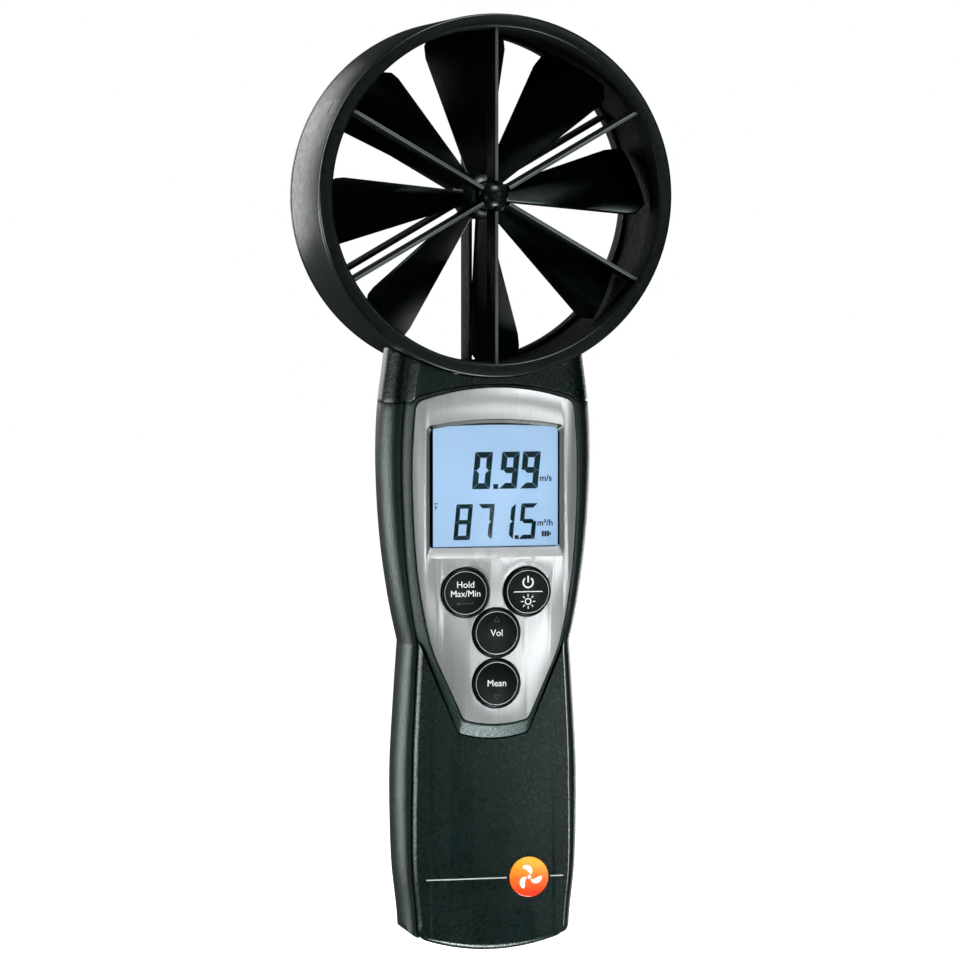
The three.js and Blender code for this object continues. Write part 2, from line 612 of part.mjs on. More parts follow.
function buttonCap([x, z]) {
  return turned([
    [0, BUTTON_FRONT + 0.2], [6.1, BUTTON_FRONT], [BUTTON_RADIUS, BUTTON_FRONT + 0.6],
    [BUTTON_RADIUS, -17.0], [BUTTON_FLANGE, -17.0], [BUTTON_FLANGE, -16.0], [3, -16.0],
    [3, BUTTON_STEM_END], [0, BUTTON_STEM_END],
  ], x, z, 20);
}

function keypadMat() {
  const sheet = box([-16.5, BOARD.front - GAP - 1.0, 75], [16.5, BOARD.front - GAP, 115]);
  const domes = Object.values(BUTTONS).map(([x, z]) => turned([
    [0, -10.2], [4.6, -10.2], [3.4, -11.2], [0, -11.2],
  ], x, z, 12));
  return cut(join(sheet, ...domes), ...boardPosts(GAP, -20, 0));
}

function circuitBoard() {
  const board = box([-BOARD.halfWidth, BOARD.front, BOARD.bottom], [BOARD.halfWidth, BOARD.back, BOARD.top]);
  const [x, z] = HOUSING_SCREWS.middle;
  const notches = [-x, x].map((side) => rodY(POST_RADIUS + GAP, -20, 10, side, z, 16));
  return cut(board, ...notches, ...boardPilots(-20));
}

// a pan-head screw along Y, its head toward +Y
function screw([x, z], { head, shank, headBottom, headDepth, tip }) {
  return turned([
    [0, tip], [shank, tip + 1], [shank, headBottom], [head, headBottom],
    [head, headBottom + headDepth * 0.6], [head * 0.7, headBottom + headDepth], [0, headBottom + headDepth],
  ], x, z, 12);
}
const mainScrew = { head: SCREW_HEAD, shank: SCREW_SHANK };
const housingScrew = (at) => screw(at, {
  ...mainScrew, headBottom: HOUSING_SCREW_SEAT + GAP, headDepth: 2.2, tip: -9,
});
const neckScrew = (at) => screw(at, {
  ...mainScrew, headBottom: NECK_SCREW_SEAT + GAP, headDepth: 1.4, tip: 11,
});
const boardScrew = (at) => screw(at, { ...BOARD_SCREW, headBottom: BOARD.back + GAP });

// the battery's round stud and six-sided socket, or the room that they take in the clip
function contacts(grow, bottom, top) {
  const { x, stud, socket } = BATTERY.contacts;
  const y = BATTERY.middleY;
  return [rodZ(stud + grow, -x, y, bottom, top), rodZ(socket + grow, x, y, bottom, top, 6)];
}

function battery() {
  const [w, d, h] = BATTERY.size;
  const y = BATTERY.middleY;
  const top = BATTERY.bottom + h;
  const can = box([-w / 2, y - d / 2, BATTERY.bottom], [w / 2, y + d / 2, top]);
  return join(can, ...contacts(0, top - 0.5, top + BATTERY.contacts.rise));
}

function batteryClip() {
  const [w, d, h] = BATTERY.size;
  const y = BATTERY.middleY;
  const z = BATTERY.bottom + h + GAP;
  const plate = box([-w / 2 + 0.5, y - d / 2 + 1, z], [w / 2 - 0.5, y + d / 2 - 1, z + CLIP_HEIGHT]);
  return cut(plate, ...contacts(GAP, z - 1, z + BATTERY.contacts.rise + 0.4));
}

function lead(points, radius) {
  const path = new THREE.CatmullRomCurve3(points.map((p) => new THREE.Vector3(...p)));
  const section = new THREE.Shape(range(0, 300, 5).map((angle) => new THREE.Vector2(
    radius * Math.cos(radians(angle)), radius * Math.sin(radians(angle)),
  )));
  return solid(new THREE.ExtrudeGeometry(section, { steps: 8, extrudePath: path, bevelEnabled: false }));
}

// the pickup's coil looks up through the ring at the blade tips; its flange is under the neck's roof
function spinPickup() {
  const { x, y, radius, flange, flangeZ, standProud } = PICKUP;
  const top = RING_Z - RING_BORE + standProud;
  return join(rodZ(radius, x, y, flangeZ[0] + 1, top), rodZ(flange, x, y, ...flangeZ));
}

function temperatureProbe() {
  const { x, y, radius, tipRadius, bottom, top, tip } = PROBE;
  return join(rodZ(radius, x, y, bottom, top, 12), rodZ(tipRadius, x, y, top - 0.4, tip, 12));
}

function badge() {
  const { at, radius, standProud } = BADGE;
  const front = HANDLE_FRONT_Y - standProud;
  const back = HANDLE_FRONT_Y + GAP;
  return turned([
    [0, back], [radius, back], [radius, front + 0.35], [radius - 0.6, front], [0, front - 0.1],
  ], ...at, 28);
}

// ---------------------------------------------------------------- assembly
const anemometer = new THREE.Group();

function place(name, manifold, material) {
  const mesh = new THREE.Mesh(geometryOf(manifold), material);
  mesh.name = name;
  anemometer.add(mesh);
}

place('vane_ring', vaneRing(), SATIN_BLACK);
place('front_guard', guard(-1), SATIN_BLACK);
place('rear_guard', guard(1), SATIN_BLACK);
place('front_hub_cap', hubCap(-1), SATIN_BLACK);
place('rear_hub_cap', hubCap(1), SATIN_BLACK);
place('impeller', impeller(), BLADE_BLACK);
place('impeller_shaft', impellerShaft(), STEEL);
place('front_bearing', bearing(-1), BRASS);
place('rear_bearing', bearing(1), BRASS);
place('spin_pickup', spinPickup(), RUBBER_GREY);
place('temperature_probe', temperatureProbe(), STEEL);

place('neck_cradle', neckCradle(), HOUSING_BLACK);
place('upper_front_shell', upperFrontShell(), HOUSING_BLACK);
place('handle_front', handleFront(), HOUSING_BLACK);
place('back_shell', backShell(), HOUSING_BLACK);
place('battery_cover', batteryCover(), HOUSING_BLACK);
place('faceplate', faceplate(), BRUSHED_SILVER);
place('badge', badge(), SIGNAL_ORANGE);

place('display_frame', displayFrame(), GLOSS_BLACK);
place('display_window', displayWindow(), CLEAR);
place('display_module', displayModule(), SCREEN_BLUE);
for (const [name, at] of Object.entries(BUTTONS)) place(`button_${name}`, buttonCap(at), GLOSS_BLACK);
place('keypad_mat', keypadMat(), RUBBER_GREY);
place('circuit_board', circuitBoard(), BOARD_GREEN);
BOARD_POSTS.forEach((at, i) => place(`board_screw_${i + 1}`, boardScrew(at), STEEL));

for (const [row, [x, z]] of Object.entries(HOUSING_SCREWS)) {
  place(`${row}_screw_left`, housingScrew([-x, z]), STEEL);
  place(`${row}_screw_right`, housingScrew([x, z]), STEEL);
}
place('neck_screw_left', neckScrew([-NECK_SCREW[0], NECK_SCREW[1]]), STEEL);
place('neck_screw_right', neckScrew(NECK_SCREW), STEEL);

place('battery', battery(), BATTERY_GREY);
place('battery_clip', batteryClip(), LEAD_BLACK);
const BATTERY_LEAD = [[4, 3, 59.8], [5, -1, 66], [6, -5, 72], [6, -6.2, 80]];
const leftward = (points) => points.map(([x, y, z]) => [-x, y, z]);
place('battery_lead_red', lead(BATTERY_LEAD, 0.7), LEAD_RED);
place('battery_lead_black', lead(leftward(BATTERY_LEAD), 0.7), LEAD_BLACK);
place('pickup_lead', lead([[0, 0, 163.8], [0, -1.5, 161], [0, -4.5, 156], [0, -6.4, 150]], 0.9), LEAD_BLACK);
place('probe_lead', lead([[8, 12.6, 163.4], [8, 8, 160], [8, -2, 154], [8, -6.4, 148]], 0.8), LEAD_BLACK);

export default anemometer;
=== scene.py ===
import math

import bmesh
import bpy
from mathutils import Matrix, Vector


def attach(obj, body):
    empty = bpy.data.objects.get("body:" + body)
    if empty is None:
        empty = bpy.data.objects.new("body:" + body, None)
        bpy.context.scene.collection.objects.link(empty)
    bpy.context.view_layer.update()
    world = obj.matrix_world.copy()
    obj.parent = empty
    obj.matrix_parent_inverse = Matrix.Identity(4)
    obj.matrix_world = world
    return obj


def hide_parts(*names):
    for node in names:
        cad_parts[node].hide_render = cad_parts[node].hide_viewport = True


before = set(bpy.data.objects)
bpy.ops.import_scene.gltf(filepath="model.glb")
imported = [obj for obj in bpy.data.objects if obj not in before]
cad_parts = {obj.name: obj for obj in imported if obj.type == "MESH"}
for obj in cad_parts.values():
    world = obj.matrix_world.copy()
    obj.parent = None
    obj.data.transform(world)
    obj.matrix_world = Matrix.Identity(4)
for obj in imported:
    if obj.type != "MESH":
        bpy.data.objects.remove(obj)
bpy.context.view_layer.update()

# ---------------------------------------------------------------- sizes, in millimetres
MM = 0.001
GAP = 0.3

RING_Z = 223.8
RING_OUTER = 53.2
RING_BORE = 50.0
RING_HALF_DEPTH = 22.5
RING_SIDES = 192
RIM_DEPTH = 2.7
SLEEVE_OUTER = 49.7
SLEEVE_INNER = 48.9
SLEEVE_DEPTH = 6.0
HUB_RADIUS = 4.0
HUB_FRONT = 20.0
GUARD_INNER = 10.8
SPOKE_OUTER = 21.6
SPOKE_ANGLES = [90, 30, -30, -90, -150, 150]
SPOKE_REACH = 48
CAP_RADIUS = 4.25
CAP_FRONT = 22.4
SLOT_ANGLE = 151
SLOT_Y = -5.5
PICKUP_AT = (0, 0)
PICKUP_HOLE = 2.9
PROBE_AT = (8, 12.6)
PROBE_HOLE = 1.5

BLADE_COUNT = 8
BLADE_START = 6
BLADE_THICK = 1.0
BLADE_TIP = 49.2
BLADE_SWEEP = 9.7
BLADE_PITCH = 45

CREASE_Y = -13.6
FRONT_Y = -20.3
PLATE_Y = -20.8
FRONT_CROWN = 260
BACK_Y = 18.5
BACK_CORNER = 13
SIDE_Y = -6
WALL = 2.2
NECK_SEAM_Z = 162.8
WAIST_Z = 91.4
HANDLE_FRONT_Y = -17.4
HANDLE_CROWN = 400
HANDLE_WALL = 2.4
HANDLE_TOP = 92.3
HANDLE_FLAT_Y = -14.4
TRIM_LINES = [(-20.3, 4.1), (17.6, 21.6)]
BOTTOM_RISE = 5.1
BOTTOM_CORNER_X = 25

HALF_WIDTH_LOWER = [(-4, 25.4), (8, 25.7), (24, 27.4), (40, 28.0), (54, 28.0), (74, 26.9), (91.4, 25.7)]
HALF_WIDTH_UPPER = [(91.4, 25.7), (100, 27.6), (111, 29.5), (121, 30.8), (132, 31.7), (146, 32.2),
                    (156, 32.0), (163, 31.5), (173, 30.2), (190, 28.0)]
BAND_WIDTH = [(-4, 2.8), (20, 3.2), (50, 4.0), (91.4, 3.3), (125, 4.7), (163, 5.3), (190, 5.3)]
PLATE_HALF_WIDTH = [(85, 17.2), (91, 19.2), (107.5, 22.6), (123, 24.2), (148, 24.8), (163.5, 23.8)]

DISPLAY_HALF = 20.4
DISPLAY_BOTTOM = 119.8
DISPLAY_CORNER = 155.8
DISPLAY_TOP = 157.7
MODULE_FRONT = -14.8
DIGIT_SLANT = 5.5
SEGMENT_GAP = 0.02
SEGMENTS = {"0": "abcdef", "1": "bc", "5": "acdfg", "7": "abc", "8": "abcdefg", "9": "abcdfg"}

KEY_RADIUS = 7.0
KEY_HOLE = 7.3
KEY_FLANGE = 7.42
KEY_FRONT = -21.7
KEY_DISH = 6.1
KEYS = {"hold": (-9.5, 107.2), "power": (9.5, 107.2), "volume": (0, 95.2), "mean": (0, 80.2)}

HOUSING_SCREWS = {"middle": (20.2, 111.2), "lower": (17.5, 71.2)}
NECK_SCREW = (14, 167.2)
COVER_HALF = 16
COVER_TOP = 63
COVER_INSIDE = 15.8
COVER_TRAVEL = 70
BATTERY_FOOT = 8.5
BATTERY_TOP = 55.0
BATTERY_STUD = (-6.4, 5)
BATTERY_SOCKET = (6.4, 5)
BADGE_AT = (10.9, 21.7)
BADGE_RADIUS = 6.0
BADGE_FRONT = HANDLE_FRONT_Y - 0.35

# the view: angles in degrees, the camera's distance in metres
CAMERA_AZIMUTH = -13.89
CAMERA_ELEVATION = 3.34
CAMERA_AIM = (-5.36, -22.5, 140.48)
CAMERA_DISTANCE = 1.2
CAMERA_LENS = 153.2


# ---------------------------------------------------------------- meshes
def steps(start, end, count):
    return [start + (end - start) * i / count for i in range(count)] + [end]


def turn(start, end, count):
    return [math.radians(a) for a in steps(start, end, count)]


def new_object(name, data):
    ob = bpy.data.objects.new(name, data)
    bpy.context.scene.collection.objects.link(ob)
    return ob


def made(name, bm):
    bmesh.ops.recalc_face_normals(bm, faces=bm.faces)
    mesh = bpy.data.meshes.new(name)
    bm.to_mesh(mesh)
    bm.free()
    return new_object(name, mesh)


def skin(name, loops, closed=False):
    """A closed body through loops of equal length, or single points.

    Its ends are capped unless it closes on itself.
    """
    bm = bmesh.new()
    rows = [[bm.verts.new(Vector(p) * MM) for p in loop] for loop in loops]
    pairs = list(zip(rows, rows[1:])) + ([(rows[-1], rows[0])] if closed else [])
    for a, b in pairs:
        count = max(len(a), len(b))
        for k in range(count):
            j = (k + 1) % count
            if len(a) == 1:
                bm.faces.new((a[0], b[j], b[k]))
            elif len(b) == 1:
                bm.faces.new((a[k], a[j], b[0]))
            else:
                bm.faces.new((a[k], a[j], b[j], b[k]))
    if not closed:
        for row in (rows[0], rows[-1]):
            if len(row) > 2:
                bm.faces.new(row)
    return made(name, bm)


def circle(radius, y, x, z, sides):
    if radius == 0:
        return [(x, y, z)]
    return [(x + radius * math.cos(a), y, z + radius * math.sin(a)) for a in turn(0, 360, sides)[:-1]]


def turned(name, profile, x=0, z=RING_Z, sides=64):
    """A body turned about the Y axis through (x, z), from (radius, y) points."""
    loops = [circle(r, y, x, z, sides) for r, y in profile]
    return skin(name, loops, closed=profile[0][0] > 0)


def rod_y(radius, y0, y1, x=0, z=RING_Z, sides=48):
    return turned("tool", [(0, y0), (radius, y0), (radius, y1), (0, y1)], x, z, sides)


def both_ends(profile):
    """A turned profile and its mirror image in Y, as one line."""
    return [(r, -y) for r, y in profile] + [(r, y) for r, y in reversed(profile)]


def quarter_round(wide, count, deep=None):
    """Points of a rounded edge: how far in from its side and how far down from its face."""
    deep = wide if deep is None else deep
    return [(wide * (1 - math.sin(a)), deep * (1 - math.cos(a))) for a in turn(0, 90, count)]


def turned_up(name, profile, x, y, sides=40):
    """A body turned about a vertical axis through (x, y), from (radius, z) points."""
    around = turn(0, 360, sides)[:-1]
    loops = [[(x + r * math.cos(a), y + r * math.sin(a), z) for a in around] if r else [(x, y, z)]
             for r, z in profile]
    return skin(name, loops, closed=profile[0][0] > 0)


def rod_up(radius, z0, z1, x, y):
    return turned_up("tool", [(0, z0), (radius, z0), (radius, z1), (0, z1)], x, y)


def prism(outline, y0, y1, name="tool"):
    return skin(name, [at_depth(outline, y) for y in (y0, y1)])


def rectangle(left, low, right, high):
    return [(left, low), (right, low), (right, high), (left, high)]


def block(lo, hi, name="tool"):
    return prism(rectangle(lo[0], lo[2], hi[0], hi[2]), lo[1], hi[1], name)


def swung(ob, angle, x=0, y=0, z=RING_Z):
    """Turns a piece about the Y axis by an angle in degrees, then moves it."""
    ob.data.transform(Matrix.Rotation(-math.radians(angle), 4, "Y"))
    ob.data.transform(Matrix.Translation(Vector((x, y, z)) * MM))
    return ob


def settled_mesh(ob):
    """A mesh of the object as its modifiers or its curve settings make it."""
    bpy.context.view_layer.update()
    return bpy.data.meshes.new_from_object(ob.evaluated_get(bpy.context.evaluated_depsgraph_get()))


def bake(ob):
    """Makes the object's modifiers part of its mesh."""
    old = ob.data
    mesh = settled_mesh(ob)
    ob.modifiers.clear()
    ob.data = mesh
    bpy.data.meshes.remove(old)
    return ob


def combine(ob, tools, operation="DIFFERENCE"):
    for tool in tools:
        modifier = ob.modifiers.new("combine", "BOOLEAN")
        modifier.operation = operation
        modifier.solver = "EXACT"
        modifier.object = tool
    bake(ob)
    for tool in tools:
        bpy.data.objects.remove(tool)
    return ob


def cut(ob, *tools):
    return combine(ob, tools)


def join(ob, *tools):
    return combine(ob, tools, "UNION")


def common(ob, *tools):
    return combine(ob, tools, "INTERSECT")


def tidy(ob):
    bm = bmesh.new()
    bm.from_mesh(ob.data)
    bmesh.ops.remove_doubles(bm, verts=bm.verts, dist=0.004 * MM)
    bmesh.ops.dissolve_degenerate(bm, edges=bm.edges, dist=0.002 * MM)
    bm.to_mesh(ob.data)
    bm.free()
    return ob


def bevel(ob, width, segments=2, angle=40):
    modifier = ob.modifiers.new("bevel", "BEVEL")
    modifier.width = width * MM
    modifier.segments = segments
    modifier.limit_method = "ANGLE"
    modifier.angle_limit = math.radians(angle)
    return bake(ob)


def smooth(ob, angle=32):
    ob.data.shade_smooth()
    ob.data.set_sharp_from_angle(angle=math.radians(angle))
    return ob


def merge(name, obs):
    """Several objects as one mesh; each part keeps its own materials."""
    bm = bmesh.new()
    materials = []
    for ob in obs:
        start = len(bm.faces)
        own = list(ob.data.materials)
        bm.from_mesh(ob.data)
        bm.faces.ensure_lookup_table()
        for face in bm.faces[start:]:
            material = own[face.material_index] if own else None
            if material not in materials:
                materials.append(material)
            face.material_index = materials.index(material)
    mesh = bpy.data.meshes.new(name)
    bm.to_mesh(mesh)
    bm.free()
    for material in materials:
        mesh.materials.append(material)
    for ob in obs:
        bpy.data.objects.remove(ob)
    return new_object(name, mesh)


def coat(ob, material):
    ob.data.materials.clear()
    ob.data.materials.append(material)
    return ob


def paint(ob, material, picked):
    """Puts a further material on the faces that `picked` names by their centre and normal."""
    ob.data.materials.append(material)
    last = len(ob.data.materials) - 1
    for face in ob.data.polygons:
        if picked(face.center / MM, face.normal):
            face.material_index = last
    return ob


def in_the_bore(centre, normal):
    """Faces of the ring's inside that look at its axis; they take a darker, duller copy of the black as
    painted shade.
    """
    outward = Vector((centre.x, 0, centre.z - RING_Z))
    reach = outward.length
    return SPOKE_REACH < reach < RING_BORE + 0.6 and outward.dot(normal) < -0.9 * reach


def among_spokes(centre):
    """Between the hub and the ring, as seen along the axis."""
    return HUB_RADIUS < math.hypot(centre.x, centre.z - RING_Z) < SPOKE_REACH


def on_a_spoke(centre, normal):
    return among_spokes(centre) and abs(centre.y) > SPOKE_OUTER - 0.5


def beside_a_spoke(centre, normal):
    return among_spokes(centre) and abs(normal.y) < 0.3


def stand_for(ob, node, body, slot):
    """Puts a finished piece in the place of a CAD node."""
    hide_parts(node)
    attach(ob, body)


def inset(outline, distance):
    """An outline drawn in by a distance, its corners kept sharp."""
    area = sum(a[0] * b[1] - b[0] * a[1] for a, b in zip(outline, outline[1:] + outline[:1]))
    sign = 1 if area > 0 else -1
    result = []
    for i, p in enumerate(outline):
        before = Vector(p) - Vector(outline[i - 1])
        after = Vector(outline[(i + 1) % len(outline)]) - Vector(p)
        n1 = Vector((-before.y, before.x)).normalized() * sign
        n2 = Vector((-after.y, after.x)).normalized() * sign
        middle = (n1 + n2).normalized()
        q = Vector(p) + middle * (distance / max(0.35, middle.dot(n1)))
        result.append((q.x, q.y))
    return result


def eased_prism(name, outline, y0, y1, ease):
    """An outline extruded along Y, with rounded edges at both ends."""
    quarter = quarter_round(ease, 3)
    loops = [[(x, y0 + back, z) for x, z in inset(outline, deep)] for deep, back in quarter]
    loops += [[(x, y1 - back, z) for x, z in inset(outline, deep)] for deep, back in reversed(quarter)]
    return skin(name, loops)


# ---------------------------------------------------------------- curves of the body
def curve_through(rows):
    slopes = [(b[1] - a[1]) / (b[0] - a[0]) for a, b in zip(rows, rows[1:])]
    tangents = [slopes[0]] + [(a + b) / 2 for a, b in zip(slopes, slopes[1:])] + [slopes[-1]]

    def value(at):
        i = 0
        while i < len(rows) - 2 and at > rows[i + 1][0]:
            i += 1
        (x0, y0), (x1, y1) = rows[i], rows[i + 1]
        width = x1 - x0
        t = min(1.0, max(0.0, (at - x0) / width))
        smooth_t = t * t * (3 - 2 * t)
        bulge = t * (1 - t) * ((1 - t) * tangents[i] - t * tangents[i + 1]) * width
        return y0 + (y1 - y0) * smooth_t + bulge
    return value


def straight_through(rows):
    def value(at):
        for (x0, y0), (x1, y1) in zip(rows, rows[1:]):
            if at <= x1:
                return y0 + (y1 - y0) * (at - x0) / (x1 - x0)
        return rows[-1][1]
    return value


lower_width = curve_through(HALF_WIDTH_LOWER)
upper_width = curve_through(HALF_WIDTH_UPPER)
band_width = straight_through(BAND_WIDTH)
plate_width = curve_through(PLATE_HALF_WIDTH)


def half_width(z):
    return lower_width(z) if z < WAIST_Z else upper_width(z)


def crease_x(z):
    return half_width(z) - band_width(z)


def crown(x, radius=FRONT_CROWN):
    return x * x / (2 * radius)


def mirrored(half):
    return half + [(-x, z) for x, z in reversed(half) if x != 0]


def blend_corner(a, corner, b, count=5):
    """Points between a and b on a curve that heads for the corner."""
    result = []
    for t in steps(0, 1, count + 1)[1:-1]:
        result.append(tuple((1 - t) ** 2 * a[i] + 2 * t * (1 - t) * corner[i] + t * t * b[i] for i in (0, 1)))
    return result


def rounded(outline, radius):
    """An outline with each of its corners rounded."""
    result = []
    for i, corner in enumerate(outline):
        at = Vector(corner)
        a = tuple(at + (Vector(outline[i - 1]) - at).normalized() * radius)
        b = tuple(at + (Vector(outline[(i + 1) % len(outline)]) - at).normalized() * radius)
        result += [a] + blend_corner(a, corner, b) + [b]
    return result


def front_outline(top, corner_z, side_x, vee_top, vee_x, vee_z, bottom):
    rounding = 2.2
    corner_x = side_x(corner_z)
    arch = [(x, top - (top - corner_z) * (x / corner_x) ** 2) for x in steps(0, corner_x - rounding, 14)]
    side = [(side_x(z), z) for z in steps(corner_z - rounding, vee_top + 3.5, 30)]
    shoulder = (side_x(vee_top), vee_top)
    length = math.hypot(shoulder[0] - vee_x, vee_top - vee_z)

    def on_vee(t):
        return (shoulder[0] + (vee_x - shoulder[0]) * t, vee_top + (vee_z - vee_top) * t)

    vee = [on_vee(t) for t in steps(0.2, 1 - 1.1 / length, 9)]
    foot = [(x, bottom + (vee_z - bottom) * (x / vee_x) ** 2) for x in steps(vee_x - 1.1, 0, 8)]
    half = arch + blend_corner(arch[-1], (corner_x, corner_z), side[0]) + side
    half += blend_corner(side[-1], shoulder, vee[0]) + vee
    half += blend_corner(vee[-1], (vee_x, vee_z), foot[0], 3) + foot
    return mirrored(half)


def plate_outline(grow):
    return front_outline(167.5 + grow, 163.2 + grow, lambda z: plate_width(z) + grow, 89.3,
                         9.7 + grow * 0.8, 69.6 - grow * 0.7, 68.2 - grow)


def skirt_outline(side_inset, grow=0.0):
    return front_outline(168.5 + grow, 164.2 + grow, lambda z: crease_x(z) - GAP - side_inset + grow, 92.3,
                         10.6 + grow * 0.8, 65.2 - grow * 0.7, 63.5 - grow)


def window_outline(grow, low=None):
    """The display's opening; `low` moves its bottom edge by another distance than its sides."""
    low = grow if low is None else low
    half = DISPLAY_HALF + grow
    bottom = DISPLAY_BOTTOM - low
    rise = DISPLAY_TOP - DISPLAY_CORNER
    arch = [(x, DISPLAY_TOP + grow - rise * (x / DISPLAY_HALF) ** 2) for x in steps(0, half - 1.6, 12)]
    side = [(half, z) for z in steps(DISPLAY_CORNER + grow - 1.7, bottom + 1.1, 10)]
    foot = [(x, bottom) for x in steps(half - 1.1, 0, 10)]
    return mirrored(arch + blend_corner(arch[-1], (half, DISPLAY_CORNER + grow), side[0], 4) + side
                    + blend_corner(side[-1], (half, bottom), foot[0], 3) + foot)


def handle_outline(shrink):
    def side(z):
        return crease_x(z) - GAP - shrink

    def underside(x):
        return shrink + BOTTOM_RISE * (x / BOTTOM_CORNER_X) ** 2

    foot = [(x, underside(x)) for x in steps(0, side(8) - 2.4, 16)]
    flank = [(side(z), z) for z in steps(shrink + 7.4, HANDLE_TOP, 36)]
    corner = (side(8) + 0.1, underside(side(8) + 0.1))
    top = [(x, HANDLE_TOP) for x in steps(flank[-1][0], 0, 8)[1:]]
    return mirrored(foot + blend_corner(foot[-1], corner, flank[0], 6) + flank + top)


def at_depth(outline, y):
    return [(x, y, z) for x, z in outline]


def on_crown(outline, y):
    return [(x, y + crown(x), z) for x, z in outline]


def between(a, b, t):
    return [tuple(p[i] + (q[i] - p[i]) * t for i in range(3)) for p, q in zip(a, b)]


def behind_crown(y, radius=FRONT_CROWN):
    """Everything behind a crowned surface whose centre line is at y."""
    edge = [(x, y + crown(x, radius)) for x in steps(-36, 36, 48)]
    section = edge + [(36, 30), (-36, 30)]
    return skin("tool", [[(x, depth, z) for x, depth in section] for z in (-10, 210)])


def side_curve(crease, wide):
    """From the crease round to the widest point of the side."""
    return [(crease + (wide - crease) * math.sin(a), CREASE_Y + (SIDE_Y - CREASE_Y) * (1 - math.cos(a)))
            for a in turn(0, 90, 12)]


def back_curve(wide, wall=0.0):
    """From the widest point of the side round to the middle of the back."""
    corner_x = wide - BACK_CORNER + wall * 0.6
    back = BACK_Y - wall
    rear = [(corner_x + (wide - corner_x) * math.cos(a), SIDE_Y + (back - SIDE_Y) * math.sin(a))
            for a in turn(0, 90, 16)]
    return rear + [(x, back) for x in steps(corner_x, 0, 6)[1:]]


def body_section(z, wall=0.0):
    """The back shell's section at a height, or its hollow's where there is a wall."""
    wide = half_width(z) - wall
    crease = crease_x(z)
    if wall:
        front = [(crease, CREASE_Y - 10), (crease, CREASE_Y + 2.4), (wide, CREASE_Y + 6), (wide, SIDE_Y)]
        half = front + back_curve(wide, wall)
    else:
        half = side_curve(crease, wide) + back_curve(wide)[1:]
    return [(x, y, z) for x, y in mirrored(half)]


BODY_ROWS = steps(-4, WAIST_Z - 0.25, 46) + [WAIST_Z] + steps(WAIST_Z + 0.25, NECK_SEAM_Z, 36)


def body_rows(wall=0.0, rows=BODY_ROWS):
    return skin("tool", [body_section(z, wall) for z in rows])


def above_bottom(lift=0.0):
    arc = [(x, lift + BOTTOM_RISE * (x / BOTTOM_CORNER_X) ** 2) for x in steps(0, 22.5, 24)]
    bend = blend_corner(arc[-1], (25.6, lift + 5.4), (25.95, lift + 10), 8)
    return prism(mirrored(arc + bend + [(25.95, lift + 10), (45, lift + 30), (45, 300)]), -30, 30)


# ---------------------------------------------------------------- materials
class Nodes:
    """A small builder for one procedural material."""

    def __init__(self, name, **values):
        self.material = bpy.data.materials.new(name)
        self.material.use_nodes = True
        self.tree = self.material.node_tree
        self.shader = self.tree.nodes["Principled BSDF"]
        self.place = self.add("TexCoord").outputs["Object"]
        self.fill(self.shader, values)

    def fill(self, node, values):
        for socket, value in values.items():
            node.inputs[socket.replace("_", " ")].default_value = value

    def add(self, kind, **values):
        """A new node with these values on its sockets."""
        node = self.tree.nodes.new("ShaderNode" + kind)
        self.fill(node, values)
        return node

    def link(self, source, target):
        self.tree.links.new(source, target)

    def feed(self, socket, source):
        """Lets a source drive one of the shader's own sockets."""
        self.link(source, self.shader.inputs[socket])

    def stretched(self, scale):
        node = self.add("Mapping", Scale=scale)
        self.link(self.place, node.inputs["Vector"])
        return node.outputs["Vector"]

    def noise(self, scale, detail=2.0, vector=None, rough=0.5):
        node = self.add("TexNoise", Scale=scale, Detail=detail, Roughness=rough)
        self.link(vector or self.place, node.inputs["Vector"])
        return node.outputs["Fac"]

    def spread(self, source, low, high, from_low=0.3, from_high=0.7):
        node = self.add("MapRange", From_Min=from_low, From_Max=from_high, To_Min=low, To_Max=high)
        self.link(source, node.inputs["Value"])
        return node.outputs["Result"]

    def colours(self, source, *stops):
        """A colour ramp through (position, colour) stops."""
        node = self.add("ValToRGB")
        ramp = node.color_ramp
        while len(ramp.elements) < len(stops):
            ramp.elements.new(0.5)
        for element, (at, colour) in zip(ramp.elements, stops):
            element.position = at
            element.color = (*colour, 1)
        self.link(source, node.inputs["Fac"])
        return node.outputs["Color"]

    def bump(self, source, strength, depth):
        node = self.add("Bump", Strength=strength, Distance=depth * MM)
        self.link(source, node.inputs["Height"])
        previous = self.shader.inputs["Normal"]
        if previous.is_linked:
            self.link(previous.links[0].from_socket, node.inputs["Normal"])
        self.link(node.outputs["Normal"], previous)


def shade(colour, factor):
    return tuple(min(1.0, c * factor) for c in colour)


COOL_SHEEN = (0.82, 1.0, 0.97, 1)


def moulded(name, colour, low, high, grain, strength, vary=0.35, depth=0.05, shine=0.5, streaks=None):
    """Moulded plastic: fine grain, cloudy colour and gloss."""
    n = Nodes(name, Specular_Tint=COOL_SHEEN, Specular_IOR_Level=shine)
    dark, light = shade(colour, 1 - vary), shade(colour, 1 + vary)
    n.feed("Base Color", n.colours(n.noise(55, 3.0), (0.3, dark), (0.7, light)))
    n.feed("Roughness", n.spread(n.noise(grain * 0.6), low, high))
    n.bump(n.noise(grain, 3.0), strength, depth)
    if streaks:
        n.bump(n.noise(1.0, 2.0, n.stretched(streaks)), 0.25, 0.03)
    return n.material


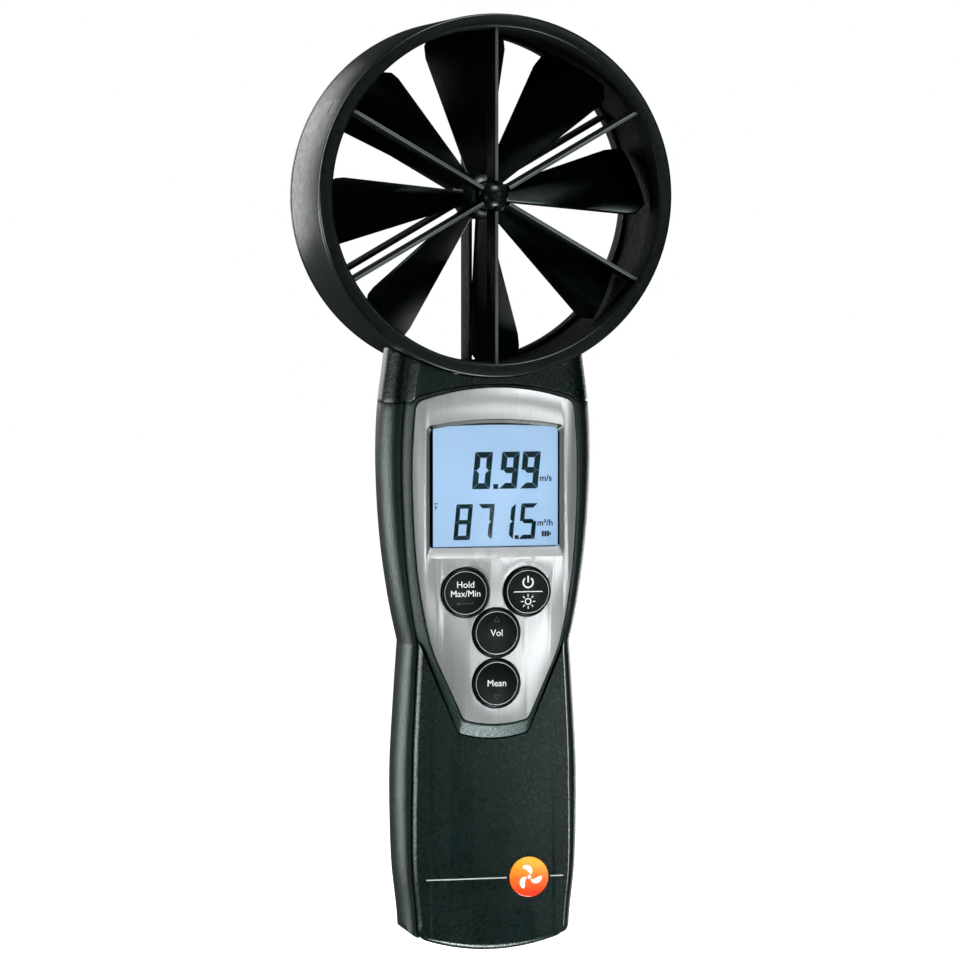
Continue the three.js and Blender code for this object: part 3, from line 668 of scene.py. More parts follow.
HOUSING = (0.0018, 0.0062, 0.0054)
mat_housing = moulded("housing grain", HOUSING, 0.24, 0.34, 1700, 0.8, depth=0.12, shine=0.3)
# lighter than the housing: partly a sandy, rougher finish and partly painted light, lifting the skirt where
# it catches the light
mat_skirt = moulded("skirt sand and painted light", shade(HOUSING, 2.4), 0.42, 0.56, 1500, 1.0, depth=0.26)
mat_band = moulded("band grain", shade(HOUSING, 1.2), 0.36, 0.46, 1800, 1.0, depth=0.14)
mat_ring = moulded("ring satin", (0.0025, 0.0045, 0.0042), 0.28, 0.38, 900, 0.25, depth=0.03,
                   streaks=(60, 60, 900))
mat_guard = moulded("guard satin", (0.0022, 0.0038, 0.0035), 0.26, 0.38, 900, 0.2, depth=0.03, shine=0.2)
# painted highlight: a much lighter copy of the guard's black, for the spokes' front edges where they catch
# the light
mat_spoke_edge_highlight = moulded("spoke edge painted highlight", (0.05, 0.058, 0.056), 0.4, 0.5, 900, 0.2, depth=0.03)
mat_blade = moulded("blade satin", (0.001, 0.0032, 0.0026), 0.3, 0.42, 500, 0.12, depth=0.03)
mat_gloss = moulded("key gloss", (0.001, 0.0015, 0.0015), 0.2, 0.28, 700, 0.06, depth=0.01, shine=0.12)
# painted shade: a darker and duller copy of the ring's black, for the bore and the spokes' sides, which lie
# in shade
mat_bore_shade = moulded("bore matt and painted shade", (0.0008, 0.0015, 0.0013), 0.6, 0.75, 900, 0.2, shine=0.12)
mat_rubber = moulded("grey rubber", (0.045, 0.05, 0.055), 0.62, 0.8, 1200, 0.4)
mat_black = moulded("black lead", (0.006, 0.006, 0.006), 0.38, 0.5, 700, 0.2)
mat_red = moulded("red lead", (0.45, 0.012, 0.01), 0.35, 0.5, 700, 0.2, vary=0.12)
mat_board = moulded("board green", (0.012, 0.095, 0.04), 0.3, 0.5, 500, 0.3, vary=0.2)
mat_label = moulded("battery wrap", (0.016, 0.018, 0.022), 0.25, 0.35, 300, 0.1)


def brushed_silver():
    n = Nodes("brushed silver", Metallic=0.95)
    fine = n.noise(1.0, 4.0, n.stretched((5200, 5200, 60)), 0.6)
    broad = n.noise(1.0, 2.0, n.stretched((700, 700, 10)))
    n.feed("Base Color", n.colours(fine, (0.3, (0.54, 0.57, 0.575)), (0.7, (0.64, 0.67, 0.675))))
    n.feed("Roughness", n.spread(broad, 0.33, 0.38))
    n.bump(fine, 0.04, 0.004)
    return n.material


def metal(name, colour, low, high):
    n = Nodes(name, Metallic=1.0)
    n.feed("Base Color", n.colours(n.noise(160, 4.0), (0.3, shade(colour, 0.75)), (0.7, shade(colour, 1.12))))
    n.feed("Roughness", n.spread(n.noise(900, 3.0), low, high))
    n.bump(n.noise(1800), 0.15, 0.02)
    return n.material


mat_silver = brushed_silver()
mat_key_ring = metal("key ring", (0.62, 0.64, 0.65), 0.5, 0.6)
mat_steel = metal("steel", (0.55, 0.56, 0.58), 0.22, 0.4)
mat_screw = metal("screw black zinc", (0.09, 0.09, 0.095), 0.3, 0.45)
mat_brass = metal("brass", (0.62, 0.42, 0.16), 0.25, 0.4)
mat_copper = metal("copper foil", (0.72, 0.36, 0.16), 0.24, 0.38)


def printed(name, colour, rough=0.45):
    n = Nodes(name, Specular_IOR_Level=0.1)
    n.feed("Base Color", n.colours(n.noise(1500), (0.3, shade(colour, 0.92)), (0.7, colour)))
    n.feed("Roughness", n.spread(n.noise(900), rough - 0.08, rough + 0.08))
    return n.material


mat_white = printed("white print", (0.86, 0.88, 0.88))
mat_faint = printed("grey print", (0.06, 0.065, 0.068))
mat_trim = printed("trim print", (0.5, 0.52, 0.53))
mat_digit = printed("screen segments", (0.006, 0.035, 0.05), 0.4)


def orange_enamel():
    """Yellow at the badge's top to red at its foot."""
    n = Nodes("orange enamel")
    parts = n.add("SeparateXYZ")
    n.link(n.place, parts.inputs["Vector"])
    low, high = ((BADGE_AT[1] + side * BADGE_RADIUS) * MM for side in (-1, 1))
    height = n.spread(parts.outputs["Z"], 0.0, 1.0, low, high)
    n.feed("Base Color", n.colours(height, (0.1, (0.62, 0.035, 0.008)), (0.45, (0.83, 0.13, 0.012)),
                                   (0.9, (0.88, 0.42, 0.02))))
    n.feed("Roughness", n.spread(n.noise(900), 0.25, 0.35))
    return n.material


def screen_blue():
    # painted light: the screen glows, standing in for the studio light that the window's glass keeps off it
    n = Nodes("screen blue glow", Emission_Strength=0.92, Specular_IOR_Level=0.05)
    cloud = n.noise(38, 1.0)
    n.feed("Emission Color", n.colours(cloud, (0.25, (0.335, 0.53, 0.79)), (0.75, (0.385, 0.585, 0.83))))
    n.feed("Base Color", n.colours(cloud, (0.25, (0.10, 0.16, 0.24)), (0.75, (0.12, 0.18, 0.26))))
    n.feed("Roughness", n.spread(n.noise(1200), 0.35, 0.5))
    return n.material


def clear_window():
    n = Nodes("clear window", Base_Color=(1, 1, 1, 1), IOR=1.12, Transmission_Weight=1.0)
    n.feed("Roughness", n.spread(n.noise(140), 0.0, 0.02))
    return n.material


mat_orange = orange_enamel()
mat_glowing_screen = screen_blue()
mat_clear = clear_window()


# ---------------------------------------------------------------- ring and guards
def vane_ring():
    front = RING_HALF_DEPTH - RIM_DEPTH - GAP
    outer = both_ends([(RING_OUTER - along, front - down) for along, down in quarter_round(0.5, 4)])
    bore = [(RING_BORE, y) for y in (front, 0, -front)]
    ring = turned("ring_body", outer + bore, sides=RING_SIDES)
    slot = block((-1.6, -0.5, -2.4), (1.6, 0.5, 2.4))
    bevel(slot, 0.4, 3)
    angle = math.radians(SLOT_ANGLE)
    swung(slot, SLOT_ANGLE, math.cos(angle) * RING_OUTER, SLOT_Y, RING_Z + math.sin(angle) * RING_OUTER)
    cut(ring, slot, rod_up(PICKUP_HOLE, 167, 178, *PICKUP_AT), rod_up(PROBE_HOLE, 167, 180, *PROBE_AT))
    return paint(coat(smooth(tidy(ring)), mat_ring), mat_bore_shade, in_the_bore)


def guard(side, name):
    outer = RING_HALF_DEPTH
    inner = RING_HALF_DEPTH - RIM_DEPTH
    sleeve_end = inner - SLEEVE_DEPTH
    lip = [(RING_OUTER - down, outer - along) for along, down in quarter_round(0.8, 6)]
    mouth = [(RING_BORE + 0.2 - 0.9 * math.sin(a), outer - 0.6 * (1 - math.cos(a))) for a in turn(0, 90, 4)]
    profile = [(SLEEVE_INNER, sleeve_end), (SLEEVE_OUTER, sleeve_end), (SLEEVE_OUTER, inner),
               (RING_OUTER - 0.25, inner), (RING_OUTER, inner + 0.25)] + lip + mouth
    whole = turned(name, [(r, side * y) for r, y in profile], sides=RING_SIDES)
    hub = turned("tool", [(0, side * GUARD_INNER), (HUB_RADIUS - 0.4, side * GUARD_INNER),
                          (HUB_RADIUS, side * (GUARD_INNER + 0.4)), (HUB_RADIUS, side * (HUB_FRONT - 0.6)),
                          (HUB_RADIUS - 0.3, side * HUB_FRONT), (0, side * HUB_FRONT)])
    join(whole, hub, *[swung(spoke_bar(side), angle) for angle in SPOKE_ANGLES])
    socket = rod_y(CAP_RADIUS + GAP, side * (CAP_FRONT - CAP_RADIUS - GAP), side * 30)
    seat = rod_y(2.7, side * 9, side * 15.3)
    bore = rod_y(1.4, side * 8, side * 17.4)
    paint(coat(smooth(tidy(cut(whole, socket, seat, bore))), mat_guard), mat_bore_shade, in_the_bore)
    # painted shade on the spokes' sides
    paint(whole, mat_bore_shade, beside_a_spoke)
    # painted highlight on the spokes' front edges
    return paint(whole, mat_spoke_edge_highlight, on_a_spoke)


def spoke_bar(side):
    """A flat spoke along +X from the axis, its front and rear edges rounded."""
    half = 0.5
    length = SLEEVE_OUTER - 0.5
    y0, y1 = GUARD_INNER, SPOKE_OUTER
    upper = [(half - along, y1 - down) for along, down in quarter_round(half * 0.7, 4)]
    lower = [(t, y0 + (y1 - y)) for t, y in reversed(upper)]
    right = upper + lower
    whole = right + [(-t, y) for t, y in reversed(right)]
    return skin("tool", [[(x, side * y, t) for t, y in whole] for x in (0, length)])


def hub_cap(side, name):
    base = CAP_FRONT - CAP_RADIUS
    rise = turn(0, 90, 12)[:-1]
    dome = [(CAP_RADIUS * math.cos(a), side * (base + CAP_RADIUS * math.sin(a))) for a in rise]
    cap = turned(name, [(0, side * base), (CAP_RADIUS - 0.3, side * base)] + dome + [(0, side * CAP_FRONT)])
    return coat(smooth(cap, 50), mat_guard)


def blade_outline():
    """The blade's flat shape as (distance from the axis, chord), cut to the swept cylinder."""
    lean = math.cos(math.radians(BLADE_PITCH))
    half = BLADE_SWEEP / lean
    arc = [(math.sqrt(BLADE_TIP ** 2 - (chord * lean) ** 2), chord) for chord in steps(-10.4, 12.4, 14)]
    return [(4, -2.4), (42.5, -half), (45.2, -half)] + arc + [(46.2, half), (42.5, half), (4, 2.4)]


def impeller():
    outline = blade_outline()
    half = BLADE_THICK / 2
    ease = 0.28
    levels = [(ease, -half), (ease * 0.3, -half + ease * 0.3), (0, -half + ease),
              (0, half - ease), (ease * 0.3, half - ease * 0.3), (ease, half)]
    blades = []
    for k in range(BLADE_COUNT):
        blade = skin("tool", [[(r, c, level) for r, c in inset(outline, deep)] for deep, level in levels])
        blade.data.transform(Matrix.Rotation(math.radians(BLADE_PITCH), 4, "X"))
        blades.append(swung(blade, BLADE_START + k * 360 / BLADE_COUNT))
    profile = [(0, 9.6), (4.3, 9.6), (4.7, 9.5), (6.5, 7.7), (6.7, 7.3)]
    hub = turned("impeller_body", both_ends(profile), sides=96)
    join(hub, *blades)
    cut(hub, rod_y(1.3, -30, 30))
    return coat(smooth(tidy(hub)), mat_blade)


def impeller_shaft():
    shaft = turned("shaft", both_ends([(0, 16.8), (0.5, 16.8), (1.0, 16.3)]), sides=32)
    return coat(smooth(shaft), mat_steel)


def bearing(side, name):
    near, far = 11.6, 15.0
    profile = [(1.3, near + 0.15), (1.45, near), (2.25, near), (2.4, near + 0.15),
               (2.4, far - 0.15), (2.25, far), (1.45, far), (1.3, far - 0.15)]
    return coat(smooth(turned(name, [(r, side * y) for r, y in profile], sides=40)), mat_brass)


stand_for(vane_ring(), "vane_ring", "housing", "ring_black")
for side, which in ((-1, "front"), (1, "rear")):
    stand_for(guard(side, which + "_guard_visual"), which + "_guard", "housing", "ring_black")
    stand_for(hub_cap(side, which + "_cap"), which + "_hub_cap", "housing", "ring_black")
    stand_for(bearing(side, which + "_bearing_visual"), which + "_bearing", "housing", "brass")
stand_for(impeller(), "impeller", "impeller", "blade_black")
stand_for(impeller_shaft(), "impeller_shaft", "impeller", "steel")


# ---------------------------------------------------------------- housing
def well_and_hole(at, well_bottom, side, hole_to=-30.0):
    return [rod_y(3.2, well_bottom, 24, side * at[0], at[1], 40),
            rod_y(1.6, hole_to, well_bottom + 0.5, side * at[0], at[1], 24)]


def back_shell():
    shell = common(body_rows(), above_bottom())
    shell.name = "back_shell_visual"
    cut(shell, common(body_rows(WALL, steps(-4, NECK_SEAM_Z + 1, 60)), above_bottom(3)))
    bosses = [rod_y(4.2, 3.4, 17.2, side * x, z, 40) for x, z in HOUSING_SCREWS.values() for side in (-1, 1)]
    join(shell, *bosses)
    tools = [block((-COVER_HALF - GAP, 9, -10), (COVER_HALF + GAP, 30, COVER_TOP + GAP))]
    tools.append(common(prism(handle_outline(-GAP), -30, -9.7), block((-23.5, -30, -10), (23.5, -9.7, 20))))
    for at in HOUSING_SCREWS.values():
        for side in (-1, 1):
            tools += well_and_hole(at, 14.5, side)
    cut(shell, *tools)
    bevel(tidy(shell), 0.35, 2, 50)
    return coat(smooth(shell), mat_band)


def battery_cover():
    inside_shell = block((-COVER_HALF, COVER_INSIDE, -10), (COVER_HALF, 30, COVER_TOP))
    cover = common(body_rows(), above_bottom(), inside_shell)
    cover.name = "battery_cover_visual"
    join(cover, block((-5, 14.2, COVER_TOP - 4), (5, COVER_INSIDE + 0.1, COVER_TOP + 3)))
    grip_lines = [rectangle(-8, z - 0.45, 8, z + 0.45) for z in steps(50.45, 58.45, 4)]
    cut(cover, *[eased_prism("tool", line, BACK_Y - 0.5, 30, 0.1) for line in grip_lines])
    bevel(tidy(cover), 0.3, 2, 45)
    return coat(smooth(cover), mat_band)


def neck_section(z):
    wide = half_width(z)
    crease = crease_x(z) - 0.2
    reach = crease - 1.6
    face = [(t * reach, FRONT_Y + crown(t * reach)) for t in steps(0, 1, 12)]
    top_x, top_y = face[-1]
    flank = [(top_x + (crease - top_x) * t, top_y + (CREASE_Y - top_y) * t) for t in steps(0, 1, 4)[1:-1]]
    half = face + flank + side_curve(crease, wide) + back_curve(wide)[1:]
    return [(x, y, z) for x, y in mirrored(half)]


def raised_front(grow, deep):
    levels = [(plate_outline(0.9 + grow), FRONT_Y - 0.5), (skirt_outline(1.0, grow), -17.2),
              (skirt_outline(0, grow), CREASE_Y), (skirt_outline(0, grow), deep)]
    return skin("tool", [at_depth(outline, y) for outline, y in levels])


def neck_cradle():
    neck = skin("neck_cradle_visual", [neck_section(z) for z in steps(NECK_SEAM_Z + GAP, 184, 20)])
    tools = [rod_y(RING_OUTER + GAP, -40, 40, 0, RING_Z, RING_SIDES),
             block((-21, -16.5, 150), (21, 12.5, 166.8)), raised_front(GAP, -9)]
    for side in (-1, 1):
        tools += well_and_hole(NECK_SCREW, 16.2, side, 10.0)
    tools += [rod_up(PICKUP_HOLE, 160, 180, *PICKUP_AT), rod_up(PROBE_HOLE, 160, 180, *PROBE_AT)]
    cut(neck, *tools)
    bevel(tidy(neck), 0.3, 2, 40)
    return coat(smooth(neck), mat_housing)


def upper_front_shell():
    edge = on_crown(plate_outline(0.9), FRONT_Y)
    slope_end = at_depth(skirt_outline(1.0), -17.2)
    foot = at_depth(skirt_outline(0), CREASE_Y)
    inner_front = at_depth([(x * 0.985, 116 + (z - 116) * 0.97) for x, z in plate_outline(-1.4)], -17.6)
    inner_back = at_depth([(x * 0.985, 116 + (z - 116) * 0.95) for x, z in skirt_outline(2.4)], -11.6)
    loops = [
        inner_front,
        on_crown(plate_outline(0.35), PLATE_Y + 1.3),
        on_crown(plate_outline(0.35), FRONT_Y + 0.18),
        on_crown(plate_outline(0.42), FRONT_Y + 0.05),
        on_crown(plate_outline(0.55), FRONT_Y),
        on_crown(plate_outline(0.8), FRONT_Y),
        between(edge, slope_end, 0.06),
        between(edge, slope_end, 0.14),
        between(edge, slope_end, 0.5),
        between(edge, slope_end, 0.94),
        between(slope_end, foot, 0.08),
        between(slope_end, foot, 0.5),
        foot,
        at_depth(skirt_outline(0), -11.6),
        inner_back,
    ]
    frame_part = skin("upper_front_shell_visual", loops, closed=True)
    floor = common(prism(plate_outline(0.3), -26, -16), behind_crown(PLATE_Y + 1.3))
    cut(floor, behind_crown(PLATE_Y + 2.6), prism(window_outline(2.0, 3.9), -30, -8),
        *[rod_y(KEY_HOLE, -30, -8, x, z) for x, z in KEYS.values()])
    coat(frame_part, mat_skirt)
    coat(floor, mat_housing)
    return smooth(merge("upper_front_shell_visual", [frame_part, floor]), 24)


def handle_front():
    rounding = [(HANDLE_WALL * (1 - math.cos(a)), HANDLE_FLAT_Y - 0.2 - 2.8 * math.sin(a))
                for a in turn(0, 90, 8)[1:]]
    levels = [(0, -10.0), (0, HANDLE_FLAT_Y)] + rounding
    shell = skin("handle_front_visual", [at_depth(handle_outline(deep), y) for deep, y in levels])
    common(shell, behind_crown(HANDLE_FRONT_Y, HANDLE_CROWN))
    seat = rod_y(BADGE_RADIUS + GAP, -30, HANDLE_FRONT_Y + 0.6, *BADGE_AT, 64)
    cut(shell, prism(handle_outline(HANDLE_WALL), -15.2, 0), prism(skirt_outline(0, GAP), -30, -5), seat)
    coat(smooth(tidy(shell), 30), mat_housing)
    return smooth(merge("handle_front_visual", [shell] + [trim_line(*ends) for ends in TRIM_LINES]), 30)


def trim_line(x0, x1):
    """A fine printed line beside the badge, bent to the handle's crown."""
    low, high = BADGE_AT[1] - 0.17, BADGE_AT[1] + 0.17
    along = steps(x0, x1, 12)
    trim = prism([(x, low) for x in along] + [(x, high) for x in reversed(along)],
                 HANDLE_FRONT_Y - 0.05, HANDLE_FRONT_Y + 0.2)
    for v in trim.data.vertices:
        v.co.y += crown(v.co.x / MM, HANDLE_CROWN) * MM
    return coat(trim, mat_trim)


stand_for(back_shell(), "back_shell", "housing", "housing_grey")
stand_for(battery_cover(), "battery_cover", "battery_cover", "housing_grey")
stand_for(neck_cradle(), "neck_cradle", "housing", "housing_black")
stand_for(upper_front_shell(), "upper_front_shell", "housing", "housing_black")
stand_for(handle_front(), "handle_front", "housing", "housing_black")


# ---------------------------------------------------------------- faceplate and display
def faceplate():
    plate = common(prism(plate_outline(0), -26, -10), behind_crown(PLATE_Y))
    plate.name = "faceplate_visual"
    cut(plate, behind_crown(PLATE_Y + 1.0))
    ledge = prism(rectangle(-21.4, 116.4, 21.4, 120.6), -20.4, -17.2)
    join(plate, common(ledge, behind_crown(PLATE_Y + 0.3)))
    # the opening: a sloped bevel round the top and sides, and a longer slope under the display
    levels = [(1.5, 4.4, -1.0), (0.6, 2.4, 0.0), (0.48, 2.3, 0.06), (-0.6, -0.3, 0.95), (-0.7, -0.6, 1.5),
              (-0.7, -0.6, 9.0)]
    opening = skin("tool", [on_crown(window_outline(grow, low), PLATE_Y + y) for grow, low, y in levels])
    holes = []
    for x, z in KEYS.values():
        face = PLATE_Y + crown(x)
        sink = [(0, -26), (KEY_HOLE + 0.9, -26), (KEY_HOLE + 0.35, face - 0.02), (KEY_HOLE, face + 0.3),
                (KEY_HOLE, -10), (0, -10)]
        holes.append(turned("tool", sink, x, z, 96))
    cut(plate, opening, *holes)
    bevel(tidy(plate), 0.16, 2, 55)
    # painted shade: the silver slope over the display is coated gloss black
    return paint(coat(smooth(plate, 30), mat_silver), mat_gloss, painted_shade_over_display)


def painted_shade_over_display(centre, normal):
    """The slope over the display, which looks down into the shade; the silver there is coated gloss black as
    painted shade.
    """
    return centre.z > 154 and abs(centre.x) < 20 and normal.z < -0.4


def display_frame():
    walls = prism(window_outline(1.5), -22, -16.2, "display_frame_visual")
    cut(common(walls, behind_crown(PLATE_Y + 1.4)), prism(window_outline(0.15, -0.7), -30, 0))
    bevel(tidy(walls), 0.12, 2, 50)
    return coat(smooth(walls), mat_gloss)


def display_window():
    pane = eased_prism("display_window_visual", window_outline(1.2), -15.9, -15.1, 0.15)
    return coat(smooth(pane, 40), mat_clear)


def segment_shapes(character, width, height, stroke):
    """The seven-segment strokes of one digit, as outlines round its middle."""
    out_x, out_z = width / 2, height / 2
    in_x, in_z, half, gap = out_x - stroke, out_z - stroke, stroke / 2, stroke * SEGMENT_GAP
    bar = in_x - gap

    def level(side):
        return [(-out_x + 2 * gap, side * out_z), (out_x - 2 * gap, side * out_z), (bar, side * in_z),
                (-bar, side * in_z)]

    def upright(x_side, z_side):
        corners = [(out_x, out_z - 2 * gap), (out_x, gap), (out_x - half, gap), (in_x, half + gap),
                   (in_x, in_z - gap)]
        return [(x_side * x, z_side * z) for x, z in corners]

    middle = [(-bar, half), (bar, half), (bar + half, 0), (bar, -half), (-bar, -half), (-bar - half, 0)]
    shapes = {"a": level(1), "b": upright(1, 1), "c": upright(1, -1), "d": level(-1), "e": upright(-1, -1),
              "f": upright(-1, 1), "g": middle}
    return [shapes[name] for name in SEGMENTS[character]]


def lettering(body, size, x, z, y, bold=0.0):
    """Text in the built-in font as a thin mesh that faces -Y, centred on (x, z)."""
    curve = bpy.data.curves.new("text", "FONT")
    curve.body = body
    curve.size = size * MM
    curve.align_x = "CENTER"
    curve.align_y = "CENTER"
    curve.offset = bold * size * MM
    curve.extrude = 0.03 * MM
    text = new_object("text", curve)
    mesh = settled_mesh(text)
    bpy.data.objects.remove(text)
    mesh.transform(Matrix.Rotation(math.radians(90), 4, "X"))
    mesh.transform(Matrix.Translation(Vector((x, y, z)) * MM))
    return new_object("text", mesh)


def digit_outlines():
    """A row of three large digits over a row of four smaller ones, all leaning to the right."""
    lean = math.tan(math.radians(DIGIT_SLANT))
    # each row's height, its digits' width, height and stroke, and where they stand
    rows = [(142.8, (5.4, 11.0, 1.75), (("0", -2.7), ("9", 5.5), ("9", 11.9))),
            (127.6, (5.0, 10.6, 1.3), (("8", -8.6), ("7", -1.95), ("1", 4.5), ("5", 11.2)))]
    outlines = []
    for z, digit_size, digits in rows:
        for character, x in digits:
            shapes = segment_shapes(character, *digit_size)
            outlines += [[(x + px + pz * lean, z + pz) for px, pz in shape] for shape in shapes]
    return outlines


def sign_outlines():
    """The two decimal points, the battery sign and a small arrow under a bar."""
    points = [rectangle(x - size / 2, z - size / 2, x + size / 2, z + size / 2)
              for x, z, size in ((1.3, 138.0, 1.5), (7.7, 122.9, 1.15))]
    cells = [rectangle(x, 123.0, x + 0.65, 124.6) for x in (15.4, 16.2, 17.0)]
    arrow = [rectangle(-17.4, 133.0, -16.4, 133.3), [(-17.25, 131.9), (-16.55, 131.9), (-16.9, 132.7)],
             rectangle(-17.0, 131.4, -16.8, 131.9)]
    return points + cells + [rectangle(17.8, 123.4, 18.2, 124.2)] + arrow


def display_module():
    front = MODULE_FRONT
    case = rectangle(-20.6, 118.6, 20.6, 158.3)
    body = eased_prism("display_module_visual", case, front + 0.15, front + 5, 0.2)
    pane = [(-17.7, 120.0), (20.3, 120.0)] + [(x, 156.3 - 0.002 * x * x) for x in steps(20.3, -17.7, 12)]
    panel = eased_prism("tool", pane, front + 0.05, front + 0.3, 0.04)
    parts = [coat(body, mat_gloss), coat(panel, mat_glowing_screen)]
    for outline in digit_outlines() + sign_outlines():
        parts.append(coat(prism(outline, front - 0.02, front + 0.1), mat_digit))
    parts.append(coat(lettering("m/s", 2.6, 16.6, 140.3, front, 0.02), mat_digit))
    parts.append(coat(lettering("m³/h", 2.6, 16.4, 127.0, front, 0.02), mat_digit))
    return smooth(merge("display_module_visual", parts), 30)


def key_dish(radius):
    return KEY_FRONT + 0.2 * (1 - min(1.0, radius / KEY_DISH) ** 2)


def on_key(ob, x, z, thick=0.04):
    """Lays a flat print on the key's dished face."""
    middle = sum(v.co.y for v in ob.data.vertices) / len(ob.data.vertices)
    for v in ob.data.vertices:
        radius = math.hypot(v.co.x / MM - x, v.co.z / MM - z)
        v.co.y = (key_dish(radius) + (-thick if v.co.y < middle else 0.06)) * MM
    return ob


def stroke_outline(points, width):
    """A line of points as a closed outline of an even width."""
    left, right = [], []
    for i, p in enumerate(points):
        a = Vector(points[max(0, i - 1)])
        b = Vector(points[min(len(points) - 1, i + 1)])
        along = (b - a).normalized()
        across = Vector((-along.y, along.x)) * width / 2
        left.append(tuple(Vector(p) + across))
        right.append(tuple(Vector(p) - across))
    return left + right[::-1]


def key_print(outline):
    return prism(outline, KEY_FRONT - 0.1, KEY_FRONT + 0.1)


def key_marks(name, x, z):
    """A key's white legend and its faint sign, laid on the dished face."""
    def line(points, width):
        return key_print(stroke_outline([(x + right, z + up) for right, up in points], width))

    def word(letters, size, up=0.0):
        return lettering(letters, size, x, z + up, KEY_FRONT)

    white, faint = [], []
    if name == "hold":
        white += [word("Hold", 2.75, 2.35), word("Max/Min", 2.65, -0.35)]
        faint += [line([(-2.0, -3.2), (2.3, -3.2), (2.3, -2.5)], 0.22),
                  key_print([(x - 2.9, z - 3.2), (x - 1.9, z - 3.75), (x - 1.9, z - 2.65)])]
    if name == "volume":
        white.append(word("Vol", 2.75, -0.1))
        faint.append(line([(-0.9, 3.3), (0, 4.7), (0.9, 3.3), (-0.7, 3.3)], 0.2))
    if name == "mean":
        white.append(word("Mean", 2.75))
        faint.append(line([(-0.9, -3.4), (0, -4.8), (0.9, -3.4), (-0.7, -3.4)], 0.2))
    if name == "power":
        arc = [(1.5 * math.sin(a), 2.75 + 1.5 * math.cos(a)) for a in turn(38, 322, 24)]
        white += [line(arc, 0.42), line([(0, 2.7), (0, 4.7)], 0.42), line([(-4.4, 0), (4.4, 0)], 0.24)]
        sun = -2.9
        near, far = KEY_FRONT - 0.1, KEY_FRONT + 0.1
        white.append(turned("tool", [(0.72, near), (1.0, near), (1.0, far), (0.72, far)], x, z + sun, 28))
        for a in turn(0, 315, 7):
            white.append(line([(r * math.cos(a), sun + r * math.sin(a)) for r in (1.4, 2.2)], 0.26))
    marks = [coat(on_key(ob, x, z), mat_white) for ob in white]
    return marks + [coat(on_key(ob, x, z, 0.03), mat_faint) for ob in faint]


def key(name, x, z):
    """A round key with a dished face, a thin silver ring let into it, and a flange behind the plate."""
    land = KEY_FRONT + 0.14
    edge = KEY_FRONT + 0.05
    dish = [(r, key_dish(r)) for r in (0, 2, 4, 5.5, KEY_DISH - 0.05)]
    rim = [(KEY_DISH, land), (6.5, land), (6.55, edge)]
    shoulder = [(KEY_RADIUS - along, edge + down) for along, down in quarter_round(0.25, 4, 0.3)]
    back = [(KEY_RADIUS, -17.0), (KEY_FLANGE, -17.0), (KEY_FLANGE, -16.0), (3, -16.0), (3, -12.3), (0, -12.3)]
    cap = coat(turned("tool", dish + rim + shoulder + back, x, z, 96), mat_gloss)
    inlay = [(6.2, KEY_FRONT + 0.2), (6.2, KEY_FRONT + 0.06), (6.24, KEY_FRONT), (6.36, KEY_FRONT),
             (6.4, KEY_FRONT + 0.06), (6.4, KEY_FRONT + 0.2)]
    ring = coat(turned("tool", inlay, x, z, 96), mat_key_ring)
    return smooth(merge("key_" + name, [cap, ring] + key_marks(name, x, z)), 35)


def badge():
    """A round badge with a plain fan sign."""
    x, z = BADGE_AT
    front = BADGE_FRONT
    seat = HANDLE_FRONT_Y + GAP
    edge = [(BADGE_RADIUS - down, front + along) for along, down in quarter_round(0.35, 5)]
    disc = [(0, seat), (BADGE_RADIUS, seat)] + edge + [(3.0, front - 0.05), (0, front - 0.07)]
    parts = [coat(turned("tool", disc, x, z, 96), mat_orange)]
    for k in range(3):
        base = math.radians(90 + 120 * k)
        petal = []
        for t in turn(0, 360, 20)[:-1]:
            reach = 2.35 + 1.55 * math.cos(t)
            sweep = base + 0.42 * math.sin(t) + 0.28 * (reach - 2.35)
            petal.append((x + reach * math.cos(sweep), z + reach * math.sin(sweep)))
        parts.append(coat(prism(petal, front - 0.1, front + 0.1), mat_white))
    parts.append(coat(rod_y(0.55, front + 0.1, front - 0.1, x, z, 24), mat_white))
    return smooth(merge("badge_visual", parts), 35)


stand_for(faceplate(), "faceplate", "housing", "brushed_silver")
stand_for(display_frame(), "display_frame", "housing", "gloss_black")
stand_for(display_window(), "display_window", "housing", "clear")
stand_for(display_module(), "display_module", "housing", "screen_blue")
for key_name, key_at in KEYS.items():
    stand_for(key(key_name, *key_at), "button_" + key_name, "button_" + key_name, "gloss_black")
stand_for(badge(), "badge", "housing", "badge_orange")


# ---------------------------------------------------------------- screws, battery and inner parts
def cross_screw(name, x, z, seat, head_depth, tip):
    head = seat + head_depth
    profile = [(0, tip), (1.3, tip + 1), (1.3, seat), (2.7, seat), (2.9, seat + 0.2),
               (2.9, seat + head_depth * 0.5), (2.5, head - 0.2), (1.6, head - 0.03), (0, head)]
    screw = turned(name, profile, x, z, 48)
    arms = [block((-1.7, head - 0.9, -0.38), (1.7, head + 1, 0.38)) for _ in range(2)]
    cut(screw, *[swung(arm, angle, x, 0, z) for arm, angle in zip(arms, (-35, -125))])
    return coat(smooth(tidy(screw)), mat_screw)


